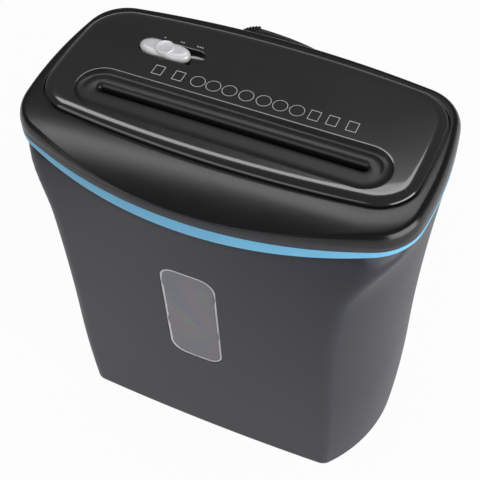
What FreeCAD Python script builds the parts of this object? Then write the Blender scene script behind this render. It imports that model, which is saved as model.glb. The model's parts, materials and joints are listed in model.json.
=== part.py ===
import FreeCAD, Part
import Sketcher
import math
import os

from FreeCAD import Placement, Rotation, Vector

# Desktop cross-cut paper shredder: a cutting head that lifts off a waste bin.
#
# Millimetres. +X is to the user's right, -Y is the front, +Z is up. The origin is under the middle
# of the machine on the surface it stands on. Every size is a cell of the sheet called sizes.

os.makedirs("parts", exist_ok=True)
doc = FreeCAD.newDocument("paper_shredder")

# ---------------------------------------------------------------- driving sizes
SIZES = {
    # outline of the head at the seam between top cover and base, and what follows it
    "head_end_room": 49.8, "head_front": 98.0, "head_back": 98.0,
    "head_end_bow": 327.0, "head_front_bow": 356.0, "head_back_bow": 900.0,
    "head_front_corner": 48.0, "head_back_corner": 44.0,
    "rim_inset": 2.0, "rim_dip": 9.0, "rim_side_rise": 6.5,
    "band_bottom": 309.5, "band_height": 10.5, "seam_gap": 0.8, "rim_gap": 0.7,
    "shoulder_rise": 9.0, "shoulder_lip": 1.2, "shoulder_roll": 10.5,
    "shoulder_bow": 230.0, "cover_wall": 2.2, "base_wall": 2.2,
    # waste bin
    "bin_wall": 2.4, "bin_floor": 2.6, "bin_foot_front": 79.0, "bin_foot_back": 84.0,
    "bin_foot_bow": 2500.0, "bin_roll": 16.0,
    "end_round": 120.4, "end_centre_y": 6.0,
    "end_toe": 1.5, "end_toe_height": 60.0, "flare_round": 200.0, "flare_height": 74.0,
    "foot_ring": 6.0, "foot_rise": 6.0, "foot_rib": 4.0,
    "window_width": 48.0, "window_height": 122.0, "window_corner": 14.0, "window_drop": 125.5,
    "pane_set_back": 0.4, "pane_wall": 1.6, "pane_gap": 0.25, "pane_flange": 3.0,
    # gloss top panel
    "panel_end_margin": 9.8, "panel_front_margin": 44.2, "panel_back_margin": 12.6,
    "panel_end_bow": 500.0, "panel_long_bow": 1030.0, "panel_corner": 34.5,
    "panel_height": 6.0, "panel_wall": 2.5, "panel_roll": 3.0, "panel_groove": 1.2,
    "panel_seat_step": 1.3, "panel_ledge": 4.0,
    # paper entry
    "slot_y": -15.5, "slot_length": 224.0, "slot_width": 5.6, "chute_wall": 2.0,
    "chute_end": 1.5,
    "tray_end_room": 16.6, "tray_width": 41.8, "tray_depth": 6.0, "tray_draft": 7.0,
    "tray_wall": 2.4,
    # mode switch
    "switch_end_room": 33.0, "switch_y": 42.0, "knob_length": 43.0, "knob_width": 17.2,
    "knob_waist": 11.0, "knob_height": 6.4, "dial_width": 17.0, "dial_rise": 1.4,
    "switch_travel": 13.0, "switch_well_depth": 4.2, "switch_gap": 0.5, "well_wall": 2.4,
    "stem_width": 5.0, "stem_length": 12.0, "slider_height": 3.0, "slider_length": 24.0,
    "slider_width": 12.0, "peg": 4.0, "peg_length": 3.0, "mode_switch_height": 9.0, "ear": 3.0,
    # cutting block
    "shaft_drop": 17.5, "shaft_spacing": 32.0, "shaft_flats": 17.0, "shaft_gap": 0.05,
    "shaft_end_gap": 0.4, "journal": 10.0, "disc_radius": 17.0, "disc_root": 14.6,
    "disc_width": 3.6, "disc_pitch": 8.0, "plate_gap": 4.2,
    "comb_gap": 0.5, "comb_reach": 34.5, "comb_bar": 9.0, "comb_drop": 28.0, "comb_rise": 19.0,
    "finger_gap": 0.7, "finger_reach": 16.0, "finger_foot": 8.0, "rod": 5.0, "rod_inset": 5.0,
    "plate": 3.0, "plate_front": -64.0, "plate_back": 32.0, "motor_plate_back": 62.0,
    "plate_rise": 30.5, "plate_cut": 5.0, "bush_wall": 3.0, "bush_flange": 1.5, "bush_lip": 1.5,
    # gear train: teeth, modules and the directions in which its axes follow each other
    "sync_teeth": 16, "sync_width": 8.0, "gear_gap": 1.0, "running_gap": 0.5, "backlash": 0.5,
    "tooth_rise": 0.9, "tooth_root": 1.15, "tooth_slope": 0.42,
    "drive_teeth": 40, "third_teeth": 12, "third_module": 1.25, "third_width": 6.0,
    "second_teeth": 40, "second_pinion": 11, "second_module": 1.0, "second_width": 4.0,
    "first_teeth": 50, "motor_pinion": 10, "first_module": 0.8, "first_width": 3.0,
    "third_angle": -10.0, "second_angle": -55.0, "first_angle": 78.0,
    "axle": 5.0, "axle_gap": 0.05, "gear_plate": 1.5, "standoff": 7.0,
    "standoff_reach": 36.0,
    # motor
    "motor_can": 42.0, "motor_length": 66.0, "motor_wall": 1.5, "motor_shaft": 4.0,
    "rotor": 20.0, "rotor_room": 3.0, "motor_cap": 7.0, "motor_gap": 0.05, "motor_screw_reach": 14.0, "motor_screw_turn": 62.0,
    "motor_screw_step": 88.0,
    # tub of the head base
    "tub_gap": 2.2, "tub_depth": 68.5, "tub_floor_wall": 2.4, "outlet_front": -52.0,
    "outlet_back": 22.0, "tub_flat": 6.0, "boss": 11.0, "boss_end_room": 25.8, "boss_y": 42.0, "boss_seat": 6.0,
    "screw": 3.5, "screw_head": 6.5, "screw_head_height": 2.4, "screw_gap": 0.25,
    "screw_bite": 6.0,
    # control board
    "board_width": 92.0, "board_height": 44.0, "board_wall": 1.6, "board_y": -74.0,
    "board_x": -50.0, "board_rise": 6.0, "rib": 2.0,
    # paper sensor
    "sensor_wide": 4.0, "sensor_gap": 0.6, "sensor_pin": 2.4, "sensor_hub": 2.6, "cheek": 2.0,
    "sensor_drop": 5.0, "sensor_arm": 2.2,
    # bin interlock
    "lock_end_room": 33.8, "lock_y": 16.0, "lock_pin": 5.0, "lock_gap": 0.05, "lock_length": 20.0,
    "lock_rest": 0.3, "lock_shelf": 14.0, "lock_travel": 3.0, "leaf": 0.6,
    # supply lead
    "lead": 6.4, "relief_x": -38.0, "relief_rise": 6.0, "relief_bend": 14.0, "relief_turn": 76.0,
    "relief_core": 8.4, "relief_rib": 10.8, "relief_ribs": 6, "relief_rib_wall": 1.4,
    "relief_step": 0.6,
    "coil_x": 6.0, "coil_y": 172.0, "coil_outer": 40.0, "coil_inner": 26.8, "coil_height": 19.2,
    "plug_width": 26.0, "plug_height": 13.7, "plug_length": 35.3, "plug_tail": 18.0,
    "plug_pin": 4.0, "plug_pin_length": 19.0, "plug_pitch": 18.6,
}

sheet = doc.addObject("Spreadsheet::Sheet", "sizes")
for row, (alias, number) in enumerate(SIZES.items(), 1):
    sheet.set("A%d" % row, alias)
    sheet.set("B%d" % row, str(number))
    sheet.setAlias("B%d" % row, alias)
doc.recompute()


# ---------------------------------------------------------------- sizes that stay bound
class Size:
    """A length or angle: its number now, and the expression that keeps it bound to the sheet."""

    def __init__(self, number, text):
        self.number = float(number)
        self.text = text

    def _join(self, sign, other, number):
        text = other.text if isinstance(other, Size) else repr(float(other))
        return Size(number, "(%s %s %s)" % (self.text, sign, text))

    def __add__(self, other):
        return self._join("+", other, self.number + float(other))

    def __sub__(self, other):
        return self._join("-", other, self.number - float(other))

    def __mul__(self, other):
        return self._join("*", other, self.number * float(other))

    def __truediv__(self, other):
        return self._join("/", other, self.number / float(other))

    def __neg__(self):
        return self * -1

    def __radd__(self, other):
        return fixed(other) + self

    def __rsub__(self, other):
        return fixed(other) - self

    def __rmul__(self, other):
        return self * other

    def __float__(self):
        return self.number


def fixed(number):
    """A plain number as a Size."""
    return number if isinstance(number, Size) else Size(number, repr(float(number)))


def size(alias):
    """The sheet's size of this name."""
    return Size(sheet.get(alias), "sizes." + alias)


def cosine(angle):
    return Size(math.cos(math.radians(float(angle))), "cos(%s)" % angle.text)


def sine(angle):
    return Size(math.sin(math.radians(float(angle))), "sin(%s)" % angle.text)


class Sizes:
    """Attribute access to the sheet: mm.bin_wall is the size called bin_wall."""

    def __getattr__(self, alias):
        return size(alias)


mm = Sizes()

# ---------------------------------------------------------------- what follows from the entry's length
head_half = mm.slot_length / 2 + mm.head_end_room
rim_half = head_half - mm.rim_inset
end_centre_x = rim_half - mm.end_round
panel_half = head_half - mm.panel_end_margin
panel_depth_half = (mm.head_front + mm.head_back - mm.panel_front_margin - mm.panel_back_margin) / 2
panel_mid = mm.head_back - mm.panel_back_margin - panel_depth_half
tray_half = mm.slot_length / 2 + mm.tray_end_room
switch_x = mm.switch_end_room - mm.slot_length / 2
boss_x = head_half - mm.boss_end_room
lock_x = mm.lock_end_room - head_half
disc_count = fixed(round(float(mm.slot_length / mm.disc_pitch)))

# ---------------------------------------------------------------- what follows from the bin's height
rim_front_height = mm.band_bottom - mm.rim_dip
shaft_z = mm.band_bottom - mm.shaft_drop
comb_bottom = shaft_z - mm.comb_drop
comb_top = shaft_z + mm.comb_rise
rod_low = comb_bottom + mm.rod_inset
rod_high = comb_top - mm.rod_inset
plate_top = shaft_z + mm.plate_rise
chute_bottom = comb_top + mm.comb_gap
tub_floor = mm.band_bottom - mm.tub_depth
relief_z = mm.band_bottom + mm.relief_rise
window_mid = mm.band_bottom - mm.window_drop

# ---------------------------------------------------------------- PartDesign helpers
X_AXIS, Y_AXIS, Z_AXIS = Vector(1, 0, 0), Vector(0, 1, 0), Vector(0, 0, 1)
PIECES = []


def place(item, at, turn=None, about=X_AXIS):
    """Bind a sub-part's place, and its turn about one axis, to the sheet."""
    item.Placement = Placement(Vector(*[float(v) for v in at]), Rotation(about, float(turn or 0)))
    for axis, value in zip("xyz", at):
        item.setExpression("Placement.Base." + axis, fixed(value).text)
    if turn is not None:
        item.setExpression("Placement.Rotation.Angle", fixed(turn).text)


def new_body(label, at=(0, 0, 0), turn=None, about=X_AXIS, keep=True):
    body = doc.addObject("PartDesign::Body", label)
    body.Label = label
    place(body, at, turn, about)
    if keep:
        PIECES.append(body)
    return body


def new_sketch(body, plane, lift=0):
    """A sketch on one of the body's own origin planes, lifted along the plane's normal."""
    sketch = body.newObject("Sketcher::SketchObject", body.Label + "_sketch")
    origin = [item for item in body.Origin.OriginFeatures if item.Role == plane][0]
    sketch.AttachmentSupport = [(origin, "")]
    sketch.MapMode = "FlatFace"
    sketch.AttachmentOffset = Placement(Vector(0, 0, float(lift)), Rotation())
    sketch.setExpression("AttachmentOffset.Base.z", fixed(lift).text)
    return sketch


def bound(sketch, kind, *where):
    """A sketch constraint whose last argument is a Size."""
    value = fixed(where[-1])
    index = sketch.addConstraint(Sketcher.Constraint(kind, *where[:-1], float(value)))
    sketch.setExpression("Constraints[%d]" % index, value.text)


def add_polygon(sketch, corners):
    """A closed polygon whose corners are bound to the sheet."""
    spots = [Vector(float(x), float(y), 0) for x, y in corners]
    count = len(spots)
    first = sketch.GeometryCount
    for index in range(count):
        sketch.addGeometry(Part.LineSegment(spots[index], spots[(index + 1) % count]), False)
    for index in range(count):
        here, following = first + index, first + (index + 1) % count
        sketch.addConstraint(Sketcher.Constraint("Coincident", here, 2, following, 1))
    for index, (x, y) in enumerate(corners):
        bound(sketch, "DistanceX", -1, 1, first + index, 1, x)
        bound(sketch, "DistanceY", -1, 1, first + index, 1, y)


def add_circle(sketch, x, y, radius):
    centre = Vector(float(x), float(y), 0)
    index = sketch.addGeometry(Part.Circle(centre, Z_AXIS, float(radius)), False)
    bound(sketch, "DistanceX", -1, 1, index, 3, x)
    bound(sketch, "DistanceY", -1, 1, index, 3, y)
    bound(sketch, "Radius", index, radius)


def add_stadium(sketch, x, y, length, width):
    """A slot outline along the sketch's X, by its whole length and width."""
    reach, radius = (length - width) / 2, width / 2
    left, right = Vector(float(x - reach), float(y), 0), Vector(float(x + reach), float(y), 0)
    up = Vector(0, float(radius), 0)
    circle = Part.Circle(right, Z_AXIS, float(radius))
    sketch.addGeometry(Part.ArcOfCircle(circle, -math.pi / 2, math.pi / 2), False)
    sketch.addGeometry(Part.LineSegment(right + up, left + up), False)
    circle = Part.Circle(left, Z_AXIS, float(radius))
    sketch.addGeometry(Part.ArcOfCircle(circle, math.pi / 2, 3 * math.pi / 2), False)
    sketch.addGeometry(Part.LineSegment(left - up, right - up), False)
    for index in range(4):
        sketch.addConstraint(Sketcher.Constraint("Tangent", index, 2, (index + 1) % 4, 1))
    sketch.addConstraint(Sketcher.Constraint("Equal", 0, 2))
    bound(sketch, "Radius", 0, radius)
    bound(sketch, "DistanceX", -1, 1, 0, 3, x + reach)
    bound(sketch, "DistanceY", -1, 1, 0, 3, y)
    bound(sketch, "DistanceX", -1, 1, 2, 3, x - reach)
    bound(sketch, "DistanceY", -1, 1, 2, 3, y)


def pad(body, sketch, length):
    feature = body.newObject("PartDesign::Pad", body.Label + "_pad")
    feature.Profile = sketch
    feature.setExpression("Length", fixed(length).text)
    sketch.Visibility = False
    return feature


def pocket(body, sketch, length, other_way=False):
    """A cut along the sketch's normal, checked to have removed material."""
    doc.recompute()
    before = body.Shape.Volume
    feature = body.newObject("PartDesign::Pocket", body.Label + "_pocket")
    feature.Profile = sketch
    feature.Reversed = not other_way
    feature.setExpression("Length", fixed(length).text)
    doc.recompute()
    if not body.Shape.Volume < before:
        raise ValueError(body.Label + ": a pocket cut nothing")
    return feature


def revolve(body, sketch, axis):
    feature = body.newObject("PartDesign::Revolution", body.Label + "_turned")
    feature.Profile = sketch
    feature.ReferenceAxis = (sketch, [axis])
    feature.Angle = 360
    return feature


def polar(body, feature, count):
    """Copies of a feature round the body's X axis."""
    pattern = body.newObject("PartDesign::PolarPattern", body.Label + "_ring")
    pattern.Originals = [feature]
    line = [item for item in body.Origin.OriginFeatures if item.Role == "X_Axis"][0]
    pattern.Axis = (line, [""])
    pattern.Angle = 360
    pattern.setExpression("Occurrences", fixed(count).text)
    body.Tip = pattern
    return pattern


def linear(body, feature, reach, count):
    """Copies of a feature along the body's X axis, over this reach from first to last."""
    pattern = body.newObject("PartDesign::LinearPattern", body.Label + "_row")
    pattern.Originals = [feature]
    line = [item for item in body.Origin.OriginFeatures if item.Role == "X_Axis"][0]
    pattern.Direction = (line, [""])
    pattern.setExpression("Length", fixed(reach).text)
    pattern.setExpression("Occurrences", fixed(count).text)
    body.Tip = pattern
    return pattern


def piece(label, shape, at=(0, 0, 0)):
    """A sub-part whose shape is made with Part's own functions from the sheet's sizes."""
    item = doc.addObject("Part::Feature", label)
    item.Label = label
    item.Shape = shape
    item.Placement = Placement(Vector(*[float(v) for v in at]), Rotation())
    PIECES.append(item)
    return item


def copies(label, source, spots):
    """One sub-part made of several like solids: the source's shape at each placement."""
    doc.recompute()
    solids = []
    for spot in spots:
        solid = source.Shape.copy()
        solid.Placement = spot.multiply(solid.Placement)
        solids.append(solid)
    return piece(label, Part.makeCompound(solids))


def moved(x, y, height, turn=0, about=X_AXIS):
    return Placement(Vector(float(x), float(y), float(height)), Rotation(about, float(turn)))


def box(x0, x1, y0, y1, z0, z1):
    """A solid block between these limits."""
    x0, x1, y0, y1, z0, z1 = [float(v) for v in (x0, x1, y0, y1, z0, z1)]
    return Part.makeBox(x1 - x0, y1 - y0, z1 - z0, Vector(x0, y0, z0))


def cylinder(radius, x, y, low, high):
    return Part.makeCylinder(float(radius), float(high) - float(low),
                             Vector(float(x), float(y), float(low)))


# ---------------------------------------------------------------- outlines of the mouldings
class Plan:
    """A closed outline of eight tangent arcs: bowed front and back, bowed ends, four corners.

    front and back are measured from mid, which is also where the ends' bows are centred.
    """

    def __init__(self, half, front, back, end_bow, front_bow, back_bow, front_corner, back_corner,
                 mid=0.0):
        values = (half, front, back, end_bow, front_bow, back_bow, front_corner, back_corner)
        self.values = [float(v) for v in values]
        self.mid = float(mid)

    def offset(self, by):
        """The parallel outline, outside this one by the given distance."""
        return Plan(*[v + float(by) for v in self.values], mid=self.mid)

    def blend(self, other, share):
        """An outline this share of the way to another one."""
        pairs = zip(self.values, other.values)
        mid = self.mid + (other.mid - self.mid) * share
        return Plan(*[a + (b - a) * share for a, b in pairs], mid=mid)

    def corner(self, depth, bow, corner):
        """Tangent points and middle of the corner arc between a long side and the right end."""
        half, end_bow = self.values[0], self.values[3]
        long_centre, end_centre = Vector(0, depth - bow, 0), Vector(half - end_bow, 0, 0)
        link = end_centre - long_centre
        span = link.Length
        reach, other = bow - corner, end_bow - corner
        along = (reach ** 2 - other ** 2 + span ** 2) / (2 * span)
        across = math.sqrt(reach ** 2 - along ** 2)
        link.normalize()
        centre = long_centre + link * along + Vector(link.y, -link.x, 0) * across
        on_long = long_centre + (centre - long_centre).normalize() * bow
        on_end = end_centre + (centre - end_centre).normalize() * end_bow
        middle = ((on_long - centre) + (on_end - centre)).normalize() * corner + centre
        return on_end, middle, on_long

    def wire(self, height):
        half, front, back, end_bow, front_bow, back_bow, front_corner, back_corner = self.values
        rear = self.corner(back, back_bow, back_corner)
        fore = self.corner(front, front_bow, front_corner)

        def at(spot, right=1, rearward=1):
            return Vector(spot.x * right, spot.y * rearward + self.mid, float(height))

        end, back_middle, front_middle = Vector(half, 0, 0), Vector(0, back, 0), Vector(0, front, 0)
        arcs = (
            (at(fore[0], 1, -1), at(end), at(rear[0])),
            (at(rear[0]), at(rear[1]), at(rear[2])),
            (at(rear[2]), at(back_middle), at(rear[2], -1)),
            (at(rear[2], -1), at(rear[1], -1), at(rear[0], -1)),
            (at(rear[0], -1), at(end, -1), at(fore[0], -1, -1)),
            (at(fore[0], -1, -1), at(fore[1], -1, -1), at(fore[2], -1, -1)),
            (at(fore[2], -1, -1), at(front_middle, 1, -1), at(fore[2], 1, -1)),
            (at(fore[2], 1, -1), at(fore[1], 1, -1), at(fore[0], 1, -1)),
        )
        return Part.Wire([Part.Arc(*arc).toShape() for arc in arcs])

    def prism(self, low, high):
        face = Part.Face(self.wire(low))
        return face.extrude(Vector(0, 0, float(high) - float(low)))


def stack(plans, ruled=False):
    """A solid through outlines given as (plan, height), from the bottom up."""
    return Part.makeLoft([plan.wire(height) for plan, height in plans], True, ruled)


def stadium_wire(length, width, x, y, height):
    """A level slot outline along X."""
    reach, radius = (float(length) - float(width)) / 2, float(width) / 2
    x, y, height = float(x), float(y), float(height)

    def at(along, across):
        return Vector(x + along, y + across, height)

    return Part.Wire([
        Part.LineSegment(at(-reach, -radius), at(reach, -radius)).toShape(),
        Part.Arc(at(reach, -radius), at(reach + radius, 0), at(reach, radius)).toShape(),
        Part.LineSegment(at(reach, radius), at(-reach, radius)).toShape(),
        Part.Arc(at(-reach, radius), at(-reach - radius, 0), at(-reach, -radius)).toShape(),
    ])


def stadium_prism(length, width, x, y, low, high):
    face = Part.Face(stadium_wire(length, width, x, y, low))
    return face.extrude(Vector(0, 0, float(high) - float(low)))


# ---------------------------------------------------------------- heights and outlines in use
FLARE_BANDS, SHOULDER_BANDS = 4, 4
band_top = mm.band_bottom + mm.band_height
rim_side = rim_front_height + mm.rim_side_rise
cover_bottom = band_top + mm.seam_gap
panel_seat = band_top + mm.shoulder_rise - mm.panel_seat_step
panel_top = panel_seat + mm.panel_height
panel_under = panel_top - mm.panel_wall
tray_floor = panel_top - mm.tray_depth
chute_top = tray_floor - mm.tray_wall

HEAD = Plan(head_half, mm.head_front, mm.head_back, mm.head_end_bow, mm.head_front_bow,
            mm.head_back_bow, mm.head_front_corner, mm.head_back_corner)
RIM = HEAD.offset(-mm.rim_inset)
PANEL = Plan(panel_half, panel_depth_half, panel_depth_half, mm.panel_end_bow,
             mm.panel_long_bow, mm.panel_long_bow, mm.panel_corner, mm.panel_corner, panel_mid)


FRONT_LEAN = Vector(0, float(mm.bin_foot_front) - float(RIM.values[1]), -float(mm.band_bottom))
BACK_LEAN = Vector(0, float(mm.bin_foot_back) - float(RIM.values[2]), -float(mm.band_bottom))


def front_form(inset):
    """A cone that the front face is part of: its bow opens out from the rim to the foot."""
    run = math.hypot(FRONT_LEAN.y, FRONT_LEAN.z)
    spread = math.atan((float(mm.bin_foot_bow) - RIM.values[4]) / run)
    lean = math.atan2(-FRONT_LEAN.y, -FRONT_LEAN.z)
    down = Vector(0, math.sin(lean), -math.cos(lean))
    top = Vector(0, -RIM.values[1] + float(inset), float(mm.band_bottom))
    apex = top - down * (RIM.values[4] / math.tan(spread))
    axis = Vector(0, math.sin(lean + spread), -math.cos(lean + spread))
    reach = 3 * run
    return Part.makeCone(0, reach * math.tan(spread), reach, apex, axis)


def back_form(inset):
    """A leaning cylinder that the back face is part of."""
    bow = float(mm.head_back_bow)
    foot = Vector(0, float(mm.bin_foot_back) - float(inset) - bow, 0)
    return Part.makeCylinder(bow, 3 * float(mm.band_bottom), foot + BACK_LEAN, -BACK_LEAN)


def end_forms(inset):
    """Both rounded ends with the block between them: upright rounds that flare to the rim."""
    radius, flare = float(mm.end_round) - float(inset), float(mm.flare_round) + float(inset)
    low, high = -1.0, float(mm.band_bottom) + 1
    flare_low = high - float(mm.flare_height)
    side = [(0, low), (radius - float(mm.end_toe), low), (radius, float(mm.end_toe_height))]
    for step in range(FLARE_BANDS + 1):
        rise = (high - flare_low) * step / FLARE_BANDS
        side.append((radius + flare - math.sqrt(flare ** 2 - rise ** 2), flare_low + rise))
    side += [(0, high), (0, low)]
    outline = Part.makePolygon([Vector(across, 0, level) for across, level in side])
    turned = Part.Face(outline).revolve(Vector(), Z_AXIS, 360)
    x, y, deep = float(end_centre_x), float(mm.end_centre_y), float(mm.head_front) + 40
    block = box(-x, x, -deep, deep, low, high)
    return block.fuse([turned.translated(Vector(sign * x, y, 0)) for sign in (-1, 1)])


def roll_form(foot, bow, yaw):
    """A long block whose lower front edge is rounded, turned to follow half of the foot's bow."""
    roll, reach, rise = float(mm.bin_roll), 2 * float(head_half), 2 * float(mm.band_bottom)
    square = roll * (1 - math.sqrt(0.5))
    side = [(reach, 0), (roll, 0), (square, square), (0, roll)]
    points = [Vector(0, across, level) for across, level in side]
    upper = [points[3], Vector(0, -roll, roll), Vector(0, -roll, rise), Vector(0, reach, rise)]
    edges = [Part.LineSegment(points[0], points[1]).toShape(), Part.Arc(*points[1:]).toShape()]
    edges += [Part.LineSegment(a, b).toShape() for a, b in zip(upper, upper[1:] + points[:1])]
    block = Part.Face(Part.Wire(edges)).extrude(Vector(2 * reach, 0, 0))
    block.translate(Vector(-reach, 0, 0))
    block.rotate(Vector(), Z_AXIS, yaw)
    return block.translated(Vector(0, -foot, 0))


def bowl(inset, low):
    """The bin's form set in by a wall, from this height up."""
    body = RIM.offset(-inset).prism(low, mm.band_bottom)
    for form in (front_form(inset), back_form(inset), end_forms(inset)):
        body = body.common(form)
    return body


def rolled(body):
    """The bowl with its front and back rolled under at the foot, along the bow of each."""
    half = float(end_centre_x) * 2
    for foot, bow, turn in ((mm.bin_foot_front, mm.bin_foot_bow, 0), (mm.bin_foot_back, mm.head_back_bow, 180)):
        yaw = math.degrees(math.atan(half / 2 / float(bow)))
        for sign in (-1, 1):
            block = roll_form(float(foot), float(bow), sign * yaw)
            block.rotate(Vector(), Z_AXIS, turn)
            body = body.common(block)
    return body


def above_rim(lift=0.0):
    """All that lies above the rim, which dips in a shallow bow to the middle of its front."""
    reach, deep = float(head_half) + 20, float(mm.head_front) + 60
    dip, side = float(rim_front_height) + lift, float(rim_side) + lift
    bow = Part.Circle(Vector(-float(RIM.values[0]), -deep, side), Vector(0, -deep, dip),
                      Vector(float(RIM.values[0]), -deep, side))
    top = dip + 100
    ends_at = [bow.Center + Vector(sign * reach, 0, -math.sqrt(bow.Radius ** 2 - reach ** 2))
               for sign in (-1, 1)]
    left, right = ends_at
    wire = Part.Wire([
        Part.Arc(left, Vector(0, -deep, dip), right).toShape(),
        Part.LineSegment(right, Vector(reach, -deep, top)).toShape(),
        Part.LineSegment(Vector(reach, -deep, top), Vector(-reach, -deep, top)).toShape(),
        Part.LineSegment(Vector(-reach, -deep, top), left).toShape(),
    ])
    return Part.Face(wire).extrude(Vector(0, 2 * deep, 0))


def window_block(grow, back_reach):
    """The window's rounded block through the front wall, grown on every side."""
    half, tall = float(mm.window_width) / 2 + float(grow), float(mm.window_height) / 2 + float(grow)
    middle, front = float(window_mid), float(mm.head_front)
    block = box(-half, half, -front - 10, -float(back_reach), middle - tall, middle + tall)
    upright = [edge for edge in block.Edges if edge.BoundBox.YLength > 1]
    return block.makeFillet(float(mm.window_corner) + float(grow), upright)


# ---------------------------------------------------------------- waste bin
outer_bowl = rolled(bowl(0, 0))
inner_bowl = bowl(mm.bin_wall, mm.foot_rise + mm.bin_floor)


def lock_shelf():
    """The bracket inside the left wall that the interlock's pin stands on."""
    wall = -float(head_half)
    end, top = float(lock_x + mm.lock_pin), float(shelf_top)
    low = top - float(mm.lock_shelf)
    half = float(mm.lock_pin)
    y = float(mm.lock_y) - half
    corners = [(wall, low - float(mm.lock_shelf)), (end, low + half), (end, top), (wall, top)]
    wire = Part.makePolygon([Vector(x, y, level) for x, level in corners + corners[:1]])
    return Part.Face(wire).extrude(Vector(0, 2 * half, 0)).common(outer_bowl)


lock_foot = tub_floor - mm.lock_travel
shelf_top = lock_foot - mm.lock_rest


def make_bin():
    shell = outer_bowl.cut(inner_bowl).cut(above_rim())
    shell = shell.cut(window_block(mm.pane_gap, panel_depth_half - mm.bin_roll))
    sole = bowl(mm.bin_roll + mm.foot_ring, 0)
    sole = sole.common(box(-head_half, head_half, -mm.head_front, mm.head_back, -1, mm.foot_rise))
    rib = mm.foot_rib / 2
    sole = sole.cut([box(-head_half, head_half, -rib, rib, -1, mm.foot_rise),
                     box(-rib, rib, -mm.head_front, mm.head_back, -1, mm.foot_rise)])
    return shell.cut(sole).fuse(lock_shelf()).removeSplitter()


piece("bin", make_bin())


def make_window():
    """A clear pane that follows the front wall, with a flange that seats against its inside."""
    low = mm.foot_rise + mm.bin_floor
    front = bowl(mm.pane_set_back, low)
    seat = bowl(mm.bin_wall + mm.pane_gap, low)
    flange_back = bowl(mm.bin_wall + mm.pane_wall, low)
    depth = panel_depth_half - mm.bin_roll
    pane = front.cut(flange_back).common(window_block(0, depth))
    flange = seat.cut(flange_back).common(window_block(mm.pane_flange, depth))
    return pane.fuse(flange).removeSplitter()


piece("bin_window", make_window())

# ---------------------------------------------------------------- head: base, ring, cover, panel
def tub(inset, low, high):
    """The part of the base that hangs into the bin, clear of it all round; flat front and back."""
    by = float(mm.bin_wall) + float(mm.tub_gap) + float(inset)
    share = float(tub_floor) / float(mm.band_bottom)
    front = float(mm.bin_foot_front) * (1 - share) + RIM.values[1] * share - by
    back = float(mm.bin_foot_back) * (1 - share) + RIM.values[2] * share - by
    radius, flat = float(mm.end_round) - by, float(mm.tub_flat)
    x, y, reach = float(end_centre_x), float(mm.end_centre_y), float(head_half)
    rounds = [cylinder(radius, sign * x, y, low, high) for sign in (-1, 1)]
    ends = box(-x, x, y - radius, y + radius, low, high).fuse(rounds)
    ends = ends.common(box(-reach, reach, flat - front, back - flat, low, high))
    return ends.common(RIM.offset(-by).prism(low, high))


TUB_LOW, TUB_HIGH = tub_floor, mm.band_bottom + mm.base_wall
tub_inside = tub_floor + mm.tub_floor_wall
FRONT_BOSSES = [(sign * boss_x, mm.end_centre_y - mm.boss_y) for sign in (-1, 1)]
BACK_BOSSES = [(sign * boss_x, mm.end_centre_y + mm.boss_y) for sign in (-1, 1)]
BOSSES = FRONT_BOSSES + BACK_BOSSES
boss_seat = band_top - mm.boss_seat
screw_room = mm.screw / 2 + mm.screw_gap
head_room = mm.screw_head / 2 + mm.screw_gap


def board_guides():
    """Two grooved ribs on the tub's floor that the control board stands in."""
    ribs = []
    for sign in (-1, 1):
        x, y = mm.board_x + sign * (mm.board_width / 2 - mm.rib), mm.board_y + mm.board_wall / 2
        rib = box(x - mm.rib, x + mm.rib, y - mm.rib * 2, y + mm.rib * 2, tub_inside,
                  tub_inside + mm.board_rise + mm.rib * 3)
        groove = mm.board_wall / 2 + mm.switch_gap / 4
        rib = rib.cut(box(x - mm.rib * 2, x + mm.rib * 2, y - groove, y + groove,
                          tub_inside + mm.board_rise, band_top))
        ribs.append(rib)
    return ribs


def make_head_base():
    base = HEAD.prism(mm.band_bottom, band_top)
    base = base.cut(HEAD.offset(-mm.base_wall).prism(TUB_HIGH, band_top))
    step = HEAD.offset(-mm.base_wall / 2).prism(band_top, cover_bottom)
    base = base.fuse([step.cut(HEAD.offset(-mm.base_wall).prism(band_top, cover_bottom)),
                      tub(0, TUB_LOW, TUB_HIGH)])
    base = base.cut(tub(mm.base_wall, tub_inside, cover_bottom))
    posts = [cylinder(mm.boss / 2, x, y, TUB_LOW, band_top) for x, y in BOSSES]
    base = base.fuse(posts + board_guides())
    holes = [box(-mm.slot_length / 2, mm.slot_length / 2, mm.outlet_front, mm.outlet_back,
                 TUB_LOW - 1, tub_inside + 1)]
    for x, y in BOSSES:
        holes.append(cylinder(screw_room, x, y, TUB_LOW - 1, band_top + 1))
        holes.append(cylinder(head_room, x, y, TUB_LOW - 1, boss_seat))
    holes.append(cylinder(mm.lock_pin / 2 + mm.lock_gap, lock_x, mm.lock_y, TUB_LOW - 1,
                          tub_inside + 1))
    relief = mm.relief_core / 2 + mm.switch_gap / 4
    holes.append(Part.makeCylinder(float(relief), 20, Vector(float(mm.relief_x),
                 float(mm.head_back) - 15, float(relief_z)), Y_AXIS))
    return base.cut(holes)


piece("head_base", make_head_base())


def make_trim_ring():
    """The crescent of trim between band and rim, deepest at the middle of the front."""
    ring = RIM.prism(rim_front_height - 2, mm.band_bottom)
    ring = ring.cut(RIM.offset(-mm.base_wall).prism(rim_front_height - 3, mm.band_bottom + 1))
    return ring.common(above_rim(float(mm.rim_gap)))


piece("trim_ring", make_trim_ring())


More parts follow.
